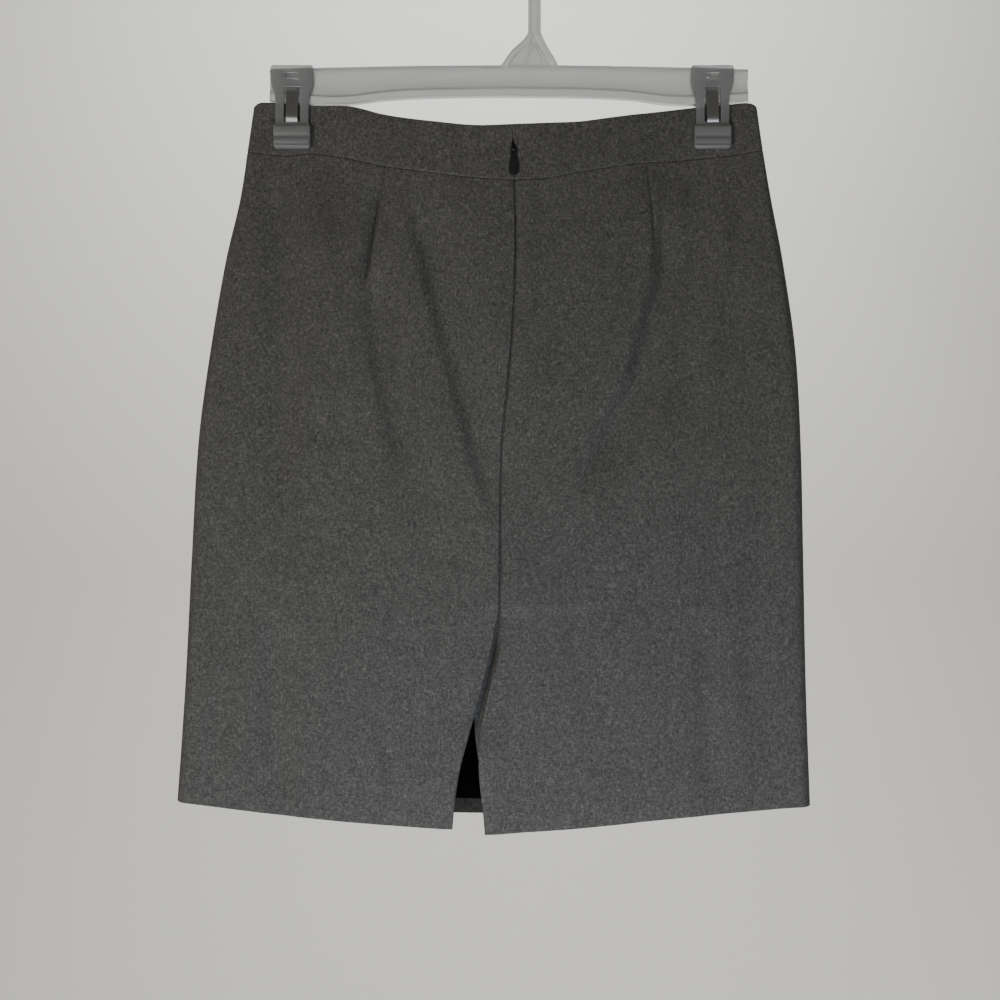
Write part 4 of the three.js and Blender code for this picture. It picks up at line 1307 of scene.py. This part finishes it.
class SKIRT_OT_clips(bpy.types.Operator):
    """Make the two pinch clips, each of two jaws and a steel spring"""

    bl_idname = "skirt.clips"
    bl_label = "Clips"

    def execute(self, context):
        for half, centre in CLIP_CENTRES.items():
            for side, way in (("front", -1), ("rear", 1)):
                bm = self.jaw(centre, way)
                piece = own_mesh(
                    f"jaw_{half}_{side}", bm, clear_styrene(),
                    replaced=[f"clip_{half}_{side}_jaw"],
                )
                sharpen(piece)
            piece = own_mesh(
                f"spring_{half}", self.spring(centre), spring_steel(),
                replaced=[f"clip_{half}_spring"],
            )
            sharpen(piece)
        return {"FINISHED"}

    @staticmethod
    def jaw(centre, way):
        """A jaw: a tapered plate with a window and a slot, on a ribbed foot."""
        side = [
            (14.9, -90.6), (15.7, -91.6), (15.9, -101), (15, -106), (12.7, -113),
            (12.4, -116), (12.4, -133.4), (13.7, -136.4), (13.7, -150.8), (12, -152.6),
        ]
        outline = [(centre + x, z) for x, z in mirrored(side)]

        def opening(width, top, foot, r=0.8):
            """An opening in the plate with cut corners."""
            x = width / 2
            loop = mirrored([(x - r, foot), (x, foot + r), (x, top - r), (x - r, top)])
            return [(centre + a, b) for a, b in loop]

        inner, wall = 3.65, 2.2
        reach = sorted((way * inner, way * (inner + wall)))
        holes = (opening(12, -106.6, -133), opening(9.4, -96.2, -99.8, 0.5))
        plate = plate_bmesh(outline, holes, *reach, 0.4)
        # the foot's section, out from the jaw's inner face: two swells and a lip with grooves between
        foot_top, foot_end, proudest, root = -135.4, -152.4, 4.6, 0.1
        foot_side = [
            (root, foot_top), (3.6, foot_top), (4.4, -136.4), (proudest, -138), (proudest, -141),
            (4.1, -142.4), (3.7, -143.4), (3.7, -144.2), (4.2, -145.2), (proudest, -146.4),
            (proudest, -148.6), (4.1, -149.4), (4.1, -149.9), (4.5, -150.6), (4.3, -151.6),
            (3.6, foot_end), (root, foot_end),
        ]
        # across the foot: half its width, and how far its section shrinks there to round its ends
        corner = [(13.5, 1.9), (13.4, 1.3), (13.1, 0.7), (12.6, 0.25), (11.8, 0)]
        rings = []
        for x, shrink in [(-x, shrink) for x, shrink in corner] + corner[::-1]:
            ring = []
            for out, z in foot_side:
                kept = out if out <= 1 else min(out, proudest - shrink * 0.3)
                z_in = max(min(z, foot_top - shrink * 0.3), foot_end + shrink)
                ring.append((centre + x, way * (inner + kept), z_in))
            rings.append(ring)
        return united([plate, swept_bmesh(rings)])

    @staticmethod
    def spring(centre):
        """The spring: one strip bent over the bar, out through each window and down on each foot."""
        arm = [
            (0, -97.9), (1.7, -99.1), (2.8, -103.5), (3, -107.4), (4.7, -113),
            (6.3, -121), (7.2, -127.4), (7.6, -130), (7.1, -131.5), (5.9, -132.9),
        ]
        line = np.array([(-y, z) for y, z in reversed(arm[1:])] + arm, float)
        step = np.concatenate([[0], np.cumsum(np.linalg.norm(np.diff(line, axis=0), axis=1))])
        fine = np.linspace(0, step[-1], 81)
        line = smoothed(np.stack([np.interp(fine, step, axis) for axis in line.T], axis=1), 6)
        # the strip's half width and half thickness, and its rounded edges
        half, wall, r = 4.4, 0.33, 0.15
        upper = mirrored([(half, wall - r), (half - r, wall)])
        ring = [*upper, *((w, -n) for w, n in reversed(upper))]
        rings = []
        for (y, z), (ty, tz) in zip(line, directions(line)):
            rings.append([(centre + w, y - tz * n, z + ty * n) for w, n in ring])
        return swept_bmesh(rings)


class SKIRT_OT_stage(bpy.types.Operator):
    """Set the pale floor with its sweep, the soft lights and the camera"""

    bl_idname = "skirt.stage"
    bl_label = "Stage"

    floor_drop: length("Floor below the hook", "How far under the hook the floor lies", 1.5, 0.8, 3)
    camera_distance: length("Camera distance", "From the plane of the skirt's side folds", 1.0, 0.3, 5)

    def execute(self, context):
        scene = context.scene
        self.floor()
        self.lights(scene)
        # a 0.75 m wide view at the skirt's plane, with the camera level and square to the skirt
        view_x, view_z = -0.00375, -0.415
        lens = bpy.data.cameras.new("camera")
        lens.lens = 48
        lens.sensor_width = 36
        camera = bpy.data.objects.new("camera", lens)
        camera.location = (view_x, -self.camera_distance, view_z)
        camera.rotation_euler = (math.pi / 2, 0, 0)
        scene.collection.objects.link(camera)
        scene.camera = camera
        return {"FINISHED"}

    def floor(self):
        """A floor that sweeps up behind, far enough back for the camera to go round the skirt."""
        near, far, high, bend, wide = -3.0, 2.6, 2.4, 0.9, 7
        drop = -self.floor_drop
        line = [(near, drop), (far - bend, drop)]
        for a in np.linspace(0, math.pi / 2, 17):
            line.append((far - bend + bend * math.sin(a), drop + bend - bend * math.cos(a)))
        line.append((far, high))
        bm = bmesh.new()
        bmesh.ops.create_grid(bm, x_segments=1, y_segments=len(line) - 1, size=0.5)
        for vert in bm.verts:
            y, z = line[round((vert.co.y + 0.5) * (len(line) - 1))]
            vert.co = (vert.co.x * wide, y, z)
        bmesh.ops.recalc_face_normals(bm, faces=bm.faces[:])
        mesh = bpy.data.meshes.new("floor")
        bm.to_mesh(mesh)
        bm.free()
        mesh.polygons.foreach_set("use_smooth", [True] * len(mesh.polygons))
        material, tree, shader = new_material("paper, matt")
        if tree:
            shader.inputs["Base Color"].default_value = rgba(linear("#d8d7d2"))
            shader.inputs["Roughness"].default_value = 0.9
        mesh.materials.append(material)
        floor = bpy.data.objects.new("floor", mesh)
        bpy.context.scene.collection.objects.link(floor)

    @staticmethod
    def lights(scene):
        """A faint even light all round, and four soft lamps."""
        world = bpy.data.worlds.new("studio")
        scene.world = world
        world.use_nodes = True
        world.node_tree.nodes["Background"].inputs["Color"].default_value = (0.94, 0.88, 0.77, 1)
        world.node_tree.nodes["Background"].inputs["Strength"].default_value = 0.1
        # the key comes from low on the left, and the low lamp lifts the hem
        # name, place, aim, size, power, colour
        for name, place, aim, size, power, tint in (
            ("key", (-1.6, -2.4, -1.3), (0, 0, -0.4), 0.5, 43, (1, 0.965, 0.87)),
            ("low", (0.04, -0.6, -1.08), (0.01, 0, -0.5), 0.3, 4.8, (0.89, 0.98, 1.18)),
            ("rear", (1.5, 1.3, 1.0), (0, 0, -0.4), 0.8, 16, (1, 0.98, 0.95)),
            ("backdrop", (0, 0.7, 1.5), (0, 2.6, -0.1), 1.6, 90, (1, 1, 1)),
        ):
            lamp = bpy.data.lights.new(name, "AREA")
            lamp.shape = "SQUARE"
            lamp.size = size
            lamp.energy = power
            lamp.color = tint
            light = bpy.data.objects.new(name, lamp)
            light.location = place
            light.rotation_euler = (Vector(aim) - Vector(place)).to_track_quat("-Z", "Y").to_euler()
            scene.collection.objects.link(light)


OPERATORS = (
    SKIRT_OT_back_panels,
    SKIRT_OT_waistband,
    SKIRT_OT_front_panel,
    SKIRT_OT_lining,
    SKIRT_OT_slit_facing,
    SKIRT_OT_zip_tape,
    SKIRT_OT_zip_slider,
    SKIRT_OT_hanger,
    SKIRT_OT_clips,
    SKIRT_OT_stage,
)


class SKIRT_PT_sidebar(bpy.types.Panel):
    """Lists the skirt's sizes, its colours and the steps that make it"""

    bl_idname = "SKIRT_PT_sidebar"
    bl_label = "Pencil skirt"
    bl_space_type = "VIEW_3D"
    bl_region_type = "UI"
    bl_category = "Skirt"

    def draw(self, context):
        for group in (context.scene.skirt_cloth, context.scene.skirt_colours):
            box = self.layout.box()
            for name in group.__annotations__:
                box.prop(group, name)
        for operator in OPERATORS:
            self.layout.operator(operator.bl_idname)


CLASSES = (SkirtClothSizes, SkirtColours, *OPERATORS, SKIRT_PT_sidebar)


def register():
    for made in CLASSES:
        bpy.utils.register_class(made)
    bpy.types.Scene.skirt_cloth = bpy.props.PointerProperty(type=SkirtClothSizes)
    bpy.types.Scene.skirt_colours = bpy.props.PointerProperty(type=SkirtColours)


def unregister():
    del bpy.types.Scene.skirt_cloth
    del bpy.types.Scene.skirt_colours
    for made in reversed(CLASSES):
        bpy.utils.unregister_class(made)


def main():
    register()
    for operator in OPERATORS:
        group, name = operator.bl_idname.split(".")
        getattr(getattr(bpy.ops, group), name)()


if __name__ == "__main__":
    main()
